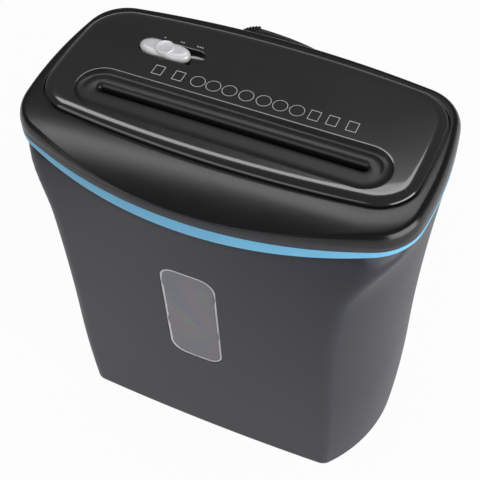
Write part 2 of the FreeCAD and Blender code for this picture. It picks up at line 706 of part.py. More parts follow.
def shoulder(inset, low):
    """The domed form of the cover: its edge rolls up from the seam, and its front slopes down."""
    low, inset = float(low), float(inset)
    rise = float(mm.shoulder_rise) - float(mm.shoulder_lip)
    roll = float(mm.shoulder_roll)
    plans = [(HEAD.offset(-inset), low - inset)]
    for step in range(SHOULDER_BANDS + 1):
        angle = math.radians(90 * step / SHOULDER_BANDS)
        plan = HEAD.offset(-inset - roll * (1 - math.cos(angle)))
        plans.append((plan, low + float(mm.shoulder_lip) + rise * math.sin(angle) - inset))
    dome = stack(plans, True)
    bow = float(mm.shoulder_bow)
    start = float(panel_mid) - float(panel_depth_half)
    slope = Part.makeCylinder(bow, 2 * float(head_half) + 20,
                              Vector(-float(head_half) - 10, start, plans[-1][1] - bow), X_AXIS)
    behind = box(-head_half - 10, head_half + 10, start, mm.head_back + 10, low - 20, low + 40)
    return dome.common(slope.fuse(behind))


def screw_bites(spots):
    """Blind holes that the screws from below cut their thread in."""
    return [cylinder(mm.screw / 2, x, y, band_top - 1, band_top + mm.screw_bite + 1) for x, y in spots]


def make_top_cover():
    hollow = shoulder(mm.cover_wall, cover_bottom)
    hollow = hollow.cut(PANEL.offset(mm.panel_groove + mm.cover_wall).prism(
        panel_seat - mm.cover_wall, panel_top))
    cover = shoulder(0, cover_bottom).cut(hollow)
    cover = cover.cut(PANEL.offset(-mm.panel_ledge).prism(cover_bottom - 5, panel_top))
    cover = cover.fuse([cylinder(mm.boss / 2, x, y, band_top, panel_seat) for x, y in FRONT_BOSSES])
    cover = cover.cut(PANEL.offset(mm.panel_groove).prism(panel_seat, panel_top))
    return cover.cut(screw_bites(FRONT_BOSSES))


piece("top_cover", make_top_cover())

# ---------------------------------------------------------------- top panel with the paper tray
well_x = switch_x + mm.switch_travel / 2
well_length = mm.knob_length + mm.switch_travel + mm.switch_gap * 2
well_width = mm.knob_width + mm.switch_gap * 2
well_floor = panel_top - mm.switch_well_depth
well_under = well_floor - mm.well_wall
stem_slot_length = mm.stem_length + mm.switch_travel + mm.switch_gap * 2
slider_top = well_under - mm.switch_gap
slider_bottom = slider_top - mm.slider_height
mode_switch_top = slider_bottom - mm.peg_length - mm.switch_gap
ear_reach = (mm.slider_length + mm.switch_travel) / 2 + mm.ear
sensor_y = mm.slot_y + mm.slot_width / 2 + mm.chute_wall + mm.sensor_hub
sensor_z = chute_top - mm.sensor_hub - mm.sensor_gap


def tray_form(grow, low, high):
    """The sunken tray round the entry: a slot outline that narrows to its floor."""
    drop = (float(high) - float(low)) / float(mm.tray_depth) * float(mm.tray_draft)
    length, width = float(tray_half) * 2 + 2 * float(grow), float(mm.tray_width) + 2 * float(grow)
    wires = [stadium_wire(length - 2 * drop, width - 2 * drop, 0, mm.slot_y, low),
             stadium_wire(length, width, 0, mm.slot_y, high)]
    return Part.makeLoft(wires, True, True)


def make_top_panel():
    half = float(mm.panel_roll) / 2
    steps = [(0, panel_seat), (0, panel_top - mm.panel_roll), (-half * 0.58, panel_top - half),
             (-2 * half, panel_top)]
    panel = stack([(PANEL.offset(by), height) for by, height in steps], True)
    panel = panel.cut(PANEL.offset(-mm.panel_wall).prism(panel_seat - 1, panel_under))
    half_slot = mm.slot_width / 2
    tray = tray_form(mm.tray_wall, chute_top, panel_under)
    chute = box(-mm.slot_length / 2 - mm.chute_end, mm.slot_length / 2 + mm.chute_end,
                mm.slot_y - half_slot - mm.chute_wall, mm.slot_y + half_slot + mm.chute_wall,
                chute_bottom, chute_top + 1)
    well = stadium_prism(well_length + mm.well_wall * 2, well_width + mm.well_wall * 2,
                         well_x, mm.switch_y, well_under, panel_under)
    ears = [box(well_x + sign * ear_reach - mm.ear / 2, well_x + sign * ear_reach + mm.ear / 2,
                mm.switch_y - mm.slider_width / 2, mm.switch_y + mm.slider_width / 2,
                mode_switch_top - mm.mode_switch_height, well_under + 1) for sign in (-1, 1)]
    bosses = [cylinder(mm.boss / 2, x, y, band_top, panel_under) for x, y in BACK_BOSSES]
    cheeks = [box(sign * (mm.sensor_wide / 2 + mm.sensor_gap) - (mm.cheek if sign < 0 else 0),
                  sign * (mm.sensor_wide / 2 + mm.sensor_gap) + (mm.cheek if sign > 0 else 0),
                  sensor_y - mm.sensor_hub, sensor_y + mm.sensor_hub,
                  sensor_z - mm.sensor_hub, chute_top + 1) for sign in (-1, 1)]
    panel = panel.fuse([tray, chute, well] + ears + bosses + cheeks)
    notch = mm.sensor_wide / 2 + mm.sensor_gap
    cuts = [
        tray_form(0, tray_floor, panel_top),
        box(-mm.slot_length / 2, mm.slot_length / 2, mm.slot_y - half_slot, mm.slot_y + half_slot,
            chute_bottom - 1, panel_top),
        box(-notch, notch, mm.slot_y, sensor_y - mm.sensor_hub + 0.01, chute_bottom - 1, chute_top),
        stadium_prism(well_length, well_width, well_x, mm.switch_y, well_floor, panel_top),
        stadium_prism(stem_slot_length, mm.stem_width + mm.switch_gap, well_x, mm.switch_y,
                      well_under - 1, panel_top),
        Part.makeCylinder(float(mm.sensor_pin / 2 + mm.lock_gap), 40,
                          Vector(-20, float(sensor_y), float(sensor_z)), X_AXIS),
    ]
    return panel.cut(cuts + screw_bites(BACK_BOSSES))


piece("top_panel", make_top_panel())

# ---------------------------------------------------------------- mode switch
knob = new_body("switch_knob", (switch_x, mm.switch_y, well_floor + mm.switch_gap / 2))
knob_plan = new_sketch(knob, "XY_Plane")
add_stadium(knob_plan, 0, 0, mm.knob_length, mm.knob_width)
pad(knob, knob_plan, mm.knob_height)
dial_plan = new_sketch(knob, "XY_Plane", mm.knob_height)
add_circle(dial_plan, 0, 0, mm.dial_width / 2)
pad(knob, dial_plan, mm.dial_rise)
for side in (-1, 1):
    waist_plan = new_sketch(knob, "XY_Plane")
    waist_round = (mm.knob_length - mm.knob_width) / 2
    add_circle(waist_plan, 0, side * (mm.knob_waist / 2 + waist_round), waist_round)
    pocket(knob, waist_plan, mm.knob_height - mm.dial_rise)
doc.recompute()
stem_plan = new_sketch(knob, "XY_Plane")
add_stadium(stem_plan, 0, 0, mm.stem_length, mm.stem_width - mm.switch_gap)
stem = pad(knob, stem_plan, mm.well_wall + mm.switch_gap * 1.5)
stem.Reversed = True

slider = new_body("switch_slider", (switch_x, mm.switch_y, slider_bottom))
slider_plan = new_sketch(slider, "XY_Plane")
add_polygon(slider_plan, [(sx * mm.slider_length / 2, sy * mm.slider_width / 2)
                          for sx, sy in ((-1, -1), (1, -1), (1, 1), (-1, 1))])
pad(slider, slider_plan, mm.slider_height)
peg_plan = new_sketch(slider, "XY_Plane")
add_circle(peg_plan, 0, 0, mm.peg / 2)
peg = pad(slider, peg_plan, mm.peg_length)
peg.Reversed = True

mode_switch = new_body("mode_switch", (well_x, mm.switch_y, mode_switch_top))
mode_plan = new_sketch(mode_switch, "XY_Plane")
mode_half = ear_reach - mm.ear / 2
add_polygon(mode_plan, [(sx * mode_half, sy * mm.slider_width / 2)
                        for sx, sy in ((-1, -1), (1, -1), (1, 1), (-1, 1))])
pad(mode_switch, mode_plan, mm.mode_switch_height).Reversed = True

# ---------------------------------------------------------------- cutting block
drive_y = mm.slot_y + mm.shaft_spacing / 2
driven_y = mm.slot_y - mm.shaft_spacing / 2
inner = (disc_count - 1) * mm.disc_pitch / 2 + mm.disc_width / 2 + mm.plate_gap
plate_out = inner + mm.plate
sync_start = plate_out + mm.bush_flange + mm.running_gap
first_start = plate_out + mm.gear_gap
second_start = first_start + mm.first_width + mm.gear_gap
third_start = second_start + mm.second_width + mm.gear_gap
outer_plate = third_start + mm.third_width + mm.gear_gap
outer_end = outer_plate + mm.gear_plate
HOOKS, HOOK_RISE = 3, ((0, 1.0), (7, 0.0), (40, 0.08), (70, 0.3), (98, 0.65))


def hook_outline():
    """A cutting disc: hooks that climb to their tips and drop back, three to a turn."""
    corners = []
    for hook in range(HOOKS):
        for turn, rise in HOOK_RISE:
            angle = fixed(hook * 360 / HOOKS + turn)
            radius = mm.disc_root + (mm.disc_radius - mm.disc_root) * rise
            corners.append((radius * cosine(angle), radius * sine(angle)))
    return corners


def hexagon(flats):
    """Corners of a hexagon by the distance across its flats."""
    radius = flats / 2 / cosine(fixed(30))
    return [(radius * cosine(fixed(60 * k + 30)), radius * sine(fixed(60 * k + 30))) for k in range(6)]


def cutter(label, y, count, journal_left, journal_right, turn):
    """A cutting cylinder: a hexagonal bar with journals, its hooked discs in two staggered rows."""
    body = new_body(label, (0, y, shaft_z), turn)
    bar = new_sketch(body, "YZ_Plane", -(inner - mm.shaft_end_gap))
    add_polygon(bar, hexagon(mm.shaft_flats))
    pad(body, bar, (inner - mm.shaft_end_gap) * 2)
    for start, end in ((-journal_left, -(inner - mm.shaft_end_gap)),
                       (inner - mm.shaft_end_gap, journal_right)):
        journal = new_sketch(body, "YZ_Plane", start)
        add_circle(journal, 0, 0, mm.journal / 2)
        pad(body, journal, end - start)
    for row in (0, 1):
        number = (int(float(count)) + 1 - row) // 2
        first = mm.disc_pitch * (row - (count - 1) / 2) - mm.disc_width / 2
        plan = new_sketch(body, "YZ_Plane", first)
        add_polygon(plan, hook_outline())
        if row:
            plan.AttachmentOffset = Placement(plan.AttachmentOffset.Base, Rotation(Z_AXIS, 60))
        disc = pad(body, plan, mm.disc_width)
        linear(body, disc, mm.disc_pitch * 2 * (number - 1), number)
    doc.recompute()
    return body


cutter("drive_cutter", drive_y, disc_count, sync_start + mm.sync_width + 1, outer_end + 1, fixed(0))
cutter("driven_cutter", driven_y, disc_count - 1, sync_start + mm.sync_width + 1,
       plate_out + mm.bush_flange, fixed(30))


def comb(label, turn, number):
    """A stripper comb: a slotted bar whose fingers reach between the discs of one cylinder."""
    half = inner - mm.comb_gap
    body = new_body(label, (0, mm.slot_y, 0), turn, Z_AXIS)
    first = (1 - number) * mm.disc_pitch / 2
    near, far = mm.comb_reach, mm.comb_reach + mm.comb_bar
    bar = new_sketch(body, "YZ_Plane", -half)
    add_polygon(bar, [(near, comb_bottom), (far, comb_bottom), (far, comb_top), (near, comb_top)])
    pad(body, bar, half * 2)
    finger = new_sketch(body, "YZ_Plane", first - mm.disc_pitch / 2 + mm.disc_width / 2 + mm.finger_gap)
    tip, bend, mid = near - mm.finger_reach, near - mm.finger_reach * 0.46, shaft_z
    add_polygon(finger, [(near + 1, comb_bottom + mm.finger_foot), (tip + 4, comb_bottom + mm.finger_foot * 1.75),
                         (bend, mid - mm.journal * 0.6), (bend, mid + mm.journal * 0.6),
                         (tip, mid + mm.journal * 1.4), (tip + 2, comb_top), (near + 1, comb_top)])
    width = mm.disc_pitch - mm.disc_width - mm.finger_gap * 2
    linear(body, pad(body, finger, width), mm.disc_pitch * (number - 1), number)
    doc.recompute()
    for height in (rod_low, rod_high):
        hole = new_sketch(body, "YZ_Plane", -half - 1)
        add_circle(hole, (near + far) / 2, height, mm.rod / 2 + mm.shaft_gap)
        pocket(body, hole, half * 2 + 2)
    return body
comb("rear_comb", None, disc_count - 1)
comb("front_comb", fixed(180), disc_count)


# ---------------------------------------------------------------- frame of the block
def plate(label, start, back, extra):
    """A steel side plate: a sheet with the cylinders' bearing holes, rod holes and its own extras."""
    body = new_body(label, (start, 0, 0))
    front, low, top, cut = mm.plate_front, tub_inside, plate_top, mm.plate_cut
    plan = new_sketch(body, "YZ_Plane")
    add_polygon(plan, [(front, low), (back, low), (back, top - cut * 2), (back - cut * 2, top),
                       (front + cut * 2, top), (front, top - cut * 2)])
    bearing = mm.journal / 2 + mm.shaft_gap + mm.bush_wall
    rod_front = mm.slot_y - mm.comb_reach - mm.comb_bar / 2
    rod_back = mm.slot_y + mm.comb_reach + mm.comb_bar / 2
    holes = [(drive_y, shaft_z, bearing), (driven_y, shaft_z, bearing)]
    holes += [(y, z, mm.rod / 2 + mm.shaft_gap) for y in (rod_front, rod_back)
              for z in (rod_low, rod_high)]
    for y, z, radius in holes + extra:
        add_circle(plan, y, z, radius)
    pad(body, plan, mm.plate)
    return body


def turned(label, corners, at, turn=None, keep=True):
    """A piece turned about the X axis, by its half outline: (along, radius) corners."""
    body = new_body(label, at, turn, keep=keep)
    plan = new_sketch(body, "XY_Plane")
    add_polygon(plan, corners)
    revolve(body, plan, "H_Axis")
    return body


def stepped(steps, bore=0):
    """Half outline of a turned piece from its (length, radius) steps, with a bore."""
    corners, along = [(fixed(0), fixed(bore))], fixed(0)
    for length, radius in steps:
        corners += [(along, radius), (along + length, radius)]
        along = along + length
    return corners + [(along, fixed(bore))]


third_reach = mm.third_module * (mm.drive_teeth + mm.third_teeth) / 2
second_reach = mm.second_module * (mm.second_teeth + mm.second_pinion) / 2
first_reach = mm.first_module * (mm.first_teeth + mm.motor_pinion) / 2
third_y = drive_y + third_reach * cosine(mm.third_angle)
third_z = shaft_z + third_reach * sine(mm.third_angle)
second_y = third_y + second_reach * cosine(mm.second_angle)
second_z = third_z + second_reach * sine(mm.second_angle)
motor_y = second_y + first_reach * cosine(mm.first_angle)
motor_z = second_z + first_reach * sine(mm.first_angle)
axle_hole = mm.axle / 2 + mm.shaft_gap
standoff_spots = [(drive_y + mm.standoff_reach * cosine(fixed(angle)),
                   shaft_z + mm.standoff_reach * sine(fixed(angle))) for angle in (231, 291, 50)]
motor_screw_spots = [(motor_y + mm.motor_screw_reach * cosine(mm.motor_screw_turn + step),
                      motor_z + mm.motor_screw_reach * sine(mm.motor_screw_turn + step))
                     for step in (0, mm.motor_screw_step)]

plate("left_plate", -plate_out, mm.plate_back, [])
plate("right_plate", inner, mm.motor_plate_back,
      [(third_y, third_z, axle_hole), (second_y, second_z, axle_hole),
       (motor_y, motor_z, mm.motor_shaft / 2 + mm.switch_gap)]
      + [(y, z, mm.screw / 2 + mm.shaft_gap) for y, z in motor_screw_spots])

bush_radius = mm.journal / 2 + mm.shaft_gap
bush = turned("bush", [(0, bush_radius), (0, bush_radius + mm.bush_wall),
                       (mm.plate, bush_radius + mm.bush_wall),
                       (mm.plate, bush_radius + mm.bush_wall + mm.bush_lip),
                       (mm.plate + mm.bush_flange, bush_radius + mm.bush_wall + mm.bush_lip),
                       (mm.plate + mm.bush_flange, bush_radius)], (0, 0, 0), keep=False)
copies("shaft_bushes", bush, [moved(inner, drive_y, shaft_z), moved(inner, driven_y, shaft_z),
                              moved(-inner, drive_y, shaft_z, 180, Z_AXIS),
                              moved(-inner, driven_y, shaft_z, 180, Z_AXIS)])
rod = turned("rod", stepped([(plate_out * 2, mm.rod / 2)]), (0, 0, 0), keep=False)
copies("tie_rods", rod, [moved(-plate_out, mm.slot_y + sign * (mm.comb_reach + mm.comb_bar / 2), height)
                         for sign in (-1, 1) for height in (rod_low, rod_high)])


# ---------------------------------------------------------------- gears
def gear(label, at, turn, bore, stages):
    """A spur gear, or a pair of them in one: stages are (start, width, teeth, module)."""
    body = new_body(label, at, turn)
    for start, width, teeth, module in stages:
        pitch_radius = module * teeth / 2
        root = pitch_radius - module * mm.tooth_root
        tip = pitch_radius + module * mm.tooth_rise
        middle = (module * math.pi - mm.backlash) / 4
        wide = middle + module * mm.tooth_root * mm.tooth_slope
        narrow = middle - module * mm.tooth_rise * mm.tooth_slope
        blank = new_sketch(body, "YZ_Plane", start)
        add_circle(blank, 0, 0, root)
        pad(body, blank, width)
        tooth = new_sketch(body, "YZ_Plane", start)
        add_polygon(tooth, [(root - module / 2, -wide), (tip, -narrow), (tip, narrow),
                            (root - module / 2, wide)])
        polar(body, pad(body, tooth, width), teeth)
    doc.recompute()
    hole = new_sketch(body, "YZ_Plane", stages[0][0] - 1)
    add_circle(hole, 0, 0, bore)
    pocket(body, hole, stages[-1][0] + stages[-1][1] - stages[0][0] + 2)
    return body


def meshed(turn, teeth, direction, other_teeth):
    """The turn of a gear that makes its teeth meet the gaps of the one it follows."""
    return direction + 180 + (180 - teeth * (turn - direction)) / other_teeth


bore = mm.journal / 2 + mm.shaft_gap
sync_module = mm.shaft_spacing / mm.sync_teeth
gear("drive_sync_gear", (0, drive_y, shaft_z), fixed(0), bore,
     [(-sync_start - mm.sync_width, mm.sync_width, mm.sync_teeth, sync_module)])
gear("driven_sync_gear", (0, driven_y, shaft_z),
     meshed(fixed(0), mm.sync_teeth, fixed(180), mm.sync_teeth), bore,
     [(-sync_start - mm.sync_width, mm.sync_width, mm.sync_teeth, sync_module)])
gear("drive_gear", (0, drive_y, shaft_z), fixed(0), bore,
     [(third_start, mm.third_width, mm.drive_teeth, mm.third_module)])
third_turn = meshed(fixed(0), mm.drive_teeth, mm.third_angle, mm.third_teeth)
gear("second_idler", (0, third_y, third_z), third_turn, axle_hole,
     [(second_start, mm.second_width + mm.gear_gap, mm.second_teeth, mm.second_module),
      (third_start, mm.third_width, mm.third_teeth, mm.third_module)])
second_turn = meshed(third_turn, mm.second_teeth, mm.second_angle, mm.second_pinion)
gear("first_idler", (0, second_y, second_z), second_turn, axle_hole,
     [(first_start, mm.first_width + mm.gear_gap, mm.first_teeth, mm.first_module),
      (second_start, mm.second_width, mm.second_pinion, mm.second_module)])
motor_turn = meshed(second_turn, mm.first_teeth, mm.first_angle, mm.motor_pinion)
gear("motor_pinion", (0, motor_y, motor_z), motor_turn, mm.motor_shaft / 2 + mm.shaft_gap,
     [(first_start, mm.first_width, mm.motor_pinion, mm.first_module)])

# ---------------------------------------------------------------- outer gear plate and its fixings
cover_plate = new_body("gear_plate", (outer_plate, 0, 0))
cover_plan = new_sketch(cover_plate, "YZ_Plane")
around = mm.standoff / 2 + mm.rib
(left_y, left_z), (low_y, low_z), (high_y, high_z) = standoff_spots
add_polygon(cover_plan, [
    (left_y - around, left_z - around), (low_y - around, low_z - around), (low_y + around, low_z - around),
    (third_y + around, third_z - around), (third_y + around, third_z + around),
    (high_y + around, high_z + around), (high_y - around, high_z + around), (left_y - around, left_z + around)])
for y, z, radius in [(drive_y, shaft_z, bore), (third_y, third_z, axle_hole)] + [
        (y, z, mm.screw / 2 + mm.shaft_gap) for y, z in standoff_spots]:
    add_circle(cover_plan, y, z, radius)
pad(cover_plate, cover_plan, mm.gear_plate)

standoff = turned("standoff", stepped([(outer_plate - plate_out, mm.standoff / 2)], mm.screw / 2),
                  (0, 0, 0), keep=False)
copies("gear_standoffs", standoff, [moved(plate_out, y, z) for y, z in standoff_spots])
axle_long = turned("axle_long", stepped([(outer_end - inner, mm.axle / 2)]), (0, 0, 0), keep=False)
copies("second_axle", axle_long, [moved(inner, third_y, third_z)])
axle_short = turned("axle_short", stepped([(third_start - inner, mm.axle / 2)]), (0, 0, 0), keep=False)
copies("first_axle", axle_short, [moved(inner, second_y, second_z)])


def screw(label, reach):
    """A round-headed screw along -X whose head's underside is at its origin."""
    return turned(label, [(-reach, 0), (-reach, mm.screw / 2), (0, mm.screw / 2),
                          (0, mm.screw_head / 2), (mm.screw_head_height, mm.screw_head / 2),
                          (mm.screw_head_height, 0)], (0, 0, 0), keep=False)


gear_screw = screw("gear_screw", mm.gear_plate + mm.screw_bite)
copies("gear_screws", gear_screw, [moved(outer_end, y, z) for y, z in standoff_spots])
motor_screw = screw("motor_screw", mm.plate + mm.motor_wall)
copies("motor_screws", motor_screw, [moved(plate_out, y, z) for y, z in motor_screw_spots])
cover_screw = screw("cover_screw", mm.boss_seat + mm.screw_bite)
copies("cover_screws", cover_screw, [moved(x, y, boss_seat, 90, Y_AXIS) for x, y in BOSSES])

# ---------------------------------------------------------------- motor
can_start = inner - mm.motor_length
can_radius = mm.motor_can / 2
bearing = mm.motor_shaft / 2 + mm.motor_gap
end_hole = mm.motor_shaft / 2 + mm.switch_gap
wall = mm.motor_wall
motor_case = turned("motor_case", [
    (0, can_radius - wall), (0, can_radius), (mm.motor_length, can_radius), (mm.motor_length, end_hole),
    (mm.motor_length - wall, end_hole), (mm.motor_length - wall, can_radius - wall)],
    (can_start, motor_y, motor_z))
for y, z in motor_screw_spots:
    hole = new_sketch(motor_case, "YZ_Plane", mm.motor_length - wall - 1)
    add_circle(hole, y - motor_y, z - motor_z, mm.screw / 2 + mm.shaft_gap)
    pocket(motor_case, hole, wall + 2)
turned("motor_end_cap", [
    (-mm.motor_cap / 2, bearing), (-mm.motor_cap / 2, mm.motor_cap), (0, mm.motor_cap),
    (0, can_radius - wall), (mm.motor_cap, can_radius - wall), (mm.motor_cap, bearing)],
    (can_start, motor_y, motor_z))
shaft_radius = mm.motor_shaft / 2
rotor_start, rotor_end = mm.motor_cap + mm.rotor_room, mm.motor_length - wall - mm.rotor_room
turned("motor_rotor", [
    (-mm.motor_cap / 2, 0), (-mm.motor_cap / 2, shaft_radius), (rotor_start, shaft_radius),
    (rotor_start, mm.rotor / 2), (rotor_end, mm.rotor / 2), (rotor_end, shaft_radius),
    (first_start + mm.first_width - can_start, shaft_radius),
    (first_start + mm.first_width - can_start, 0)], (can_start, motor_y, motor_z))

# ---------------------------------------------------------------- control board
board = new_body("control_board", (mm.board_x, mm.board_y, tub_inside + mm.board_rise))
board_plan = new_sketch(board, "XY_Plane")
add_polygon(board_plan, [(-mm.board_width / 2, 0), (mm.board_width / 2, 0),
                         (mm.board_width / 2, mm.board_wall), (-mm.board_width / 2, mm.board_wall)])
pad(board, board_plan, mm.board_height)


def on_board(x, height, wide, tall, deep):
    """A block that stands off the board's rear face, by its middle along the board."""
    x, y, z = mm.board_x + x, mm.board_y + mm.board_wall, tub_inside + mm.board_rise + height
    return box(x - wide / 2, x + wide / 2, y, y + deep, z, z + tall)


piece("board_transformer", on_board(-24, 12, fixed(24), fixed(20), fixed(13)))
piece("board_relays", Part.makeCompound([on_board(6, 6, fixed(18), fixed(15), fixed(12)),
                                         on_board(6, 24, fixed(18), fixed(15), fixed(12))]))
spot = Vector(float(mm.board_x) + 30, float(mm.board_y + mm.board_wall), float(tub_inside + mm.board_rise) + 22)
piece("board_capacitor", Part.makeCylinder(5, 12, spot, Y_AXIS))

# ---------------------------------------------------------------- paper sensor and bin interlock
sensor = new_body("paper_sensor", (0, sensor_y, sensor_z))
arm = new_sketch(sensor, "YZ_Plane", -mm.sensor_wide / 2)
sensor_reach = mm.slot_width + mm.chute_wall + mm.sensor_hub - mm.sensor_gap
add_polygon(arm, [(0, mm.sensor_arm / 2), (-sensor_reach, mm.sensor_arm / 2 - mm.sensor_drop),
                  (-sensor_reach, -mm.sensor_arm / 2 - mm.sensor_drop), (0, -mm.sensor_arm / 2)])
pad(sensor, arm, mm.sensor_wide)
for reach, radius in ((mm.sensor_wide, mm.sensor_hub - mm.switch_gap),
                      (mm.sensor_wide + (mm.sensor_gap + mm.cheek) * 2, mm.sensor_pin / 2)):
    hub = new_sketch(sensor, "YZ_Plane", -reach / 2)
    add_circle(hub, 0, 0, radius)
    pad(sensor, hub, reach)

lock_collar = tub_inside - lock_foot + mm.lock_travel + mm.lock_rest
plunger = new_body("interlock_plunger", (lock_x, mm.lock_y, lock_foot), -90, about=Y_AXIS)
plunger_plan = new_sketch(plunger, "XY_Plane")
add_polygon(plunger_plan, [(0, 0), (0, mm.lock_pin / 2), (lock_collar, mm.lock_pin / 2),
                           (lock_collar, mm.lock_pin), (lock_collar + 2, mm.lock_pin),
                           (lock_collar + 2, mm.lock_pin / 2), (mm.lock_length, mm.lock_pin / 2),
                           (mm.lock_length, 0)])
revolve(plunger, plunger_plan, "H_Axis")

lock_top = lock_foot + mm.lock_length + mm.switch_gap
lock_switch = new_body("interlock_switch", (lock_x, mm.lock_y - mm.lock_pin, 0))
lock_plan = new_sketch(lock_switch, "XZ_Plane")
block_near, block_far = -mm.lock_pin * 1.6, -mm.lock_pin * 3.2
add_polygon(lock_plan, [(block_near, tub_inside), (block_near, lock_top),
                        (mm.lock_pin / 2, lock_top), (mm.lock_pin / 2, lock_top + mm.leaf),
                        (block_near, lock_top + mm.leaf), (block_near, lock_top + mm.leaf * 3),
                        (block_far, lock_top + mm.leaf * 3), (block_far, tub_inside)])
pad(lock_switch, lock_plan, mm.lock_pin * 2).Reversed = True

# ---------------------------------------------------------------- supply lead
relief_y = mm.head_back + mm.relief_step
bend_x = mm.relief_x + mm.relief_bend


def on_bend(turn):
    """A point of the relief's bend and its heading there, this far round."""
    angle = math.radians(turn)
    spot = Vector(float(bend_x) - float(mm.relief_bend) * math.cos(angle),
                  float(relief_y) + float(mm.relief_bend) * math.sin(angle), float(relief_z))
    return spot, Vector(math.sin(angle), math.cos(angle), 0)


def bend_piece(radius, start, turn):
    """A stretch of the relief's bend, as a ring's sector of this section."""
    spot, heading = on_bend(start)
    section = Part.Face(Part.Wire(Part.Circle(spot, heading, radius).toShape()))
    pivot = Vector(float(bend_x), float(relief_y), float(relief_z))
    return section.revolve(pivot, -Z_AXIS, turn)


def make_relief():
    """A ribbed sleeve that leads the cord out of the back and round toward the side."""
    core, back = float(mm.relief_core) / 2, float(mm.relief_step) + 5
    turn, count = float(mm.relief_turn), int(float(mm.relief_ribs))
    wide = math.degrees(float(mm.relief_rib_wall) / float(mm.relief_bend))
    straight = Part.makeCylinder(core, back, on_bend(0)[0] - Y_AXIS * back, Y_AXIS)
    ribs = [bend_piece(float(mm.relief_rib) / 2, (turn - wide) * number / (count - 1), wide)
            for number in range(count)]
    return straight.fuse([bend_piece(core, 0, turn)] + ribs)


piece("strain_relief", make_relief())


def cord(points, radius):
    """A round cord through straight runs and the arcs that round its turns; prints the radii."""
    runs = [b - a for a, b in zip(points, points[1:])]
    edges, here, radii, length = [], points[0], [], 0.0
    for before, after, corner in zip(runs, runs[1:], points[1:-1]):
        turn = before.getAngle(after)
        trim = 0.45 * min(before.Length, after.Length)
        radii.append(trim / math.tan(turn / 2))
        into, out = corner - before.normalize() * trim, corner + Vector(after).normalize() * trim
        bisector = (Vector(after).normalize() - Vector(before).normalize()).normalize()
        centre = corner + bisector * (radii[-1] / math.cos(turn / 2))
        edges.append(Part.LineSegment(here, into).toShape())
        edges.append(Part.Arc(into, centre - bisector * radii[-1], out).toShape())
        here = out
    edges.append(Part.LineSegment(here, points[-1]).toShape())
    path = Part.Wire(edges)
    heading = (points[1] - points[0]).normalize()
    section = Part.Wire(Part.Circle(points[0], heading, radius).toShape())
    tube = path.makePipeShell([section], True, False)
    print("cord radii", [round(value, 1) for value in radii])
    print("cord volume", round(tube.Volume), "expected", round(math.pi * radius ** 2 * path.Length))
    return tube


exit_spot, exit_heading = on_bend(float(mm.relief_turn))
exit_spot = exit_spot + exit_heading * (float(mm.relief_rib_wall) / 2 + float(mm.lock_rest))
ROUTE = [exit_spot, Vector(10, 114, 307), Vector(58, 112, 282), Vector(76, 112, 214),
         Vector(76, 114, 146), Vector(69, 121, 88), Vector(53, 136, 44), Vector(34, 164, 17)]
piece("lead", cord(ROUTE, float(mm.lead) / 2))

coil = new_body("lead_coil", (mm.coil_x, mm.coil_y, 0))
coil_plan = new_sketch(coil, "XZ_Plane")
bevel = mm.lead / 2
add_polygon(coil_plan, [
    (mm.coil_inner, bevel), (mm.coil_inner + bevel, 0), (mm.coil_outer - bevel, 0),
    (mm.coil_outer, bevel), (mm.coil_outer, mm.coil_height - bevel),
    (mm.coil_outer - bevel, mm.coil_height), (mm.coil_inner + bevel, mm.coil_height),
    (mm.coil_inner, mm.coil_height - bevel)])
revolve(coil, coil_plan, "V_Axis")

tail_y = mm.coil_y + mm.coil_outer - mm.lead / 2
plug_x = mm.coil_x - mm.coil_outer - mm.plug_tail / 2
plug_mid = mm.plug_height / 2
turned("lead_tail", stepped([(mm.coil_x - plug_x, mm.lead / 2)]), (plug_x, tail_y, plug_mid))

plug = new_body("plug", (plug_x, tail_y, plug_mid), 180, Z_AXIS)
plug_plan = new_sketch(plug, "YZ_Plane", mm.plug_tail)
half_wide, half_tall, slant = mm.plug_width / 2, mm.plug_height / 2, mm.plug_height / 4
add_polygon(plug_plan, [(-half_wide, -slant), (slant - half_wide, -half_tall), (half_wide - slant, -half_tall),
                        (half_wide, -slant), (half_wide, slant), (half_wide - slant, half_tall),
                        (slant - half_wide, half_tall), (-half_wide, slant)])
pad(plug, plug_plan, mm.plug_length)
for reach, thick in ((mm.plug_tail, mm.rib * 0.6), (mm.plug_tail / 2, mm.rib)):
    sleeve = new_sketch(plug, "YZ_Plane", mm.plug_tail - reach)
    add_circle(sleeve, 0, 0, mm.lead / 2 + thick)
    pad(plug, sleeve, reach)

pin = turned("pin", [(0, 0), (0, mm.plug_pin / 2), (mm.plug_pin_length - 1, mm.plug_pin / 2),
                     (mm.plug_pin_length, mm.plug_pin / 4), (mm.plug_pin_length, 0)], (0, 0, 0), keep=False)
copies("plug_pins", pin, [moved(plug_x - mm.plug_tail - mm.plug_length,
                                tail_y + sign * mm.plug_pitch / 2, plug_mid, 180, Z_AXIS)
                          for sign in (-1, 1)])

# ---------------------------------------------------------------- check and write
doc.recompute()
for item in doc.Objects:
    if "Invalid" in item.State or "Error" in item.State:
        raise ValueError(item.Label + " failed to build")
for item in PIECES:
    if item.Shape.isNull() or not item.Shape.isValid() or not item.Shape.Solids:
        raise ValueError(item.Label + " has no valid solid")
    item.Shape.exportStep("parts/%s.step" % item.Label)
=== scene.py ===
import json
import math

import bmesh
import bpy
import numpy as np
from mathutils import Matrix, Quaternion, Vector


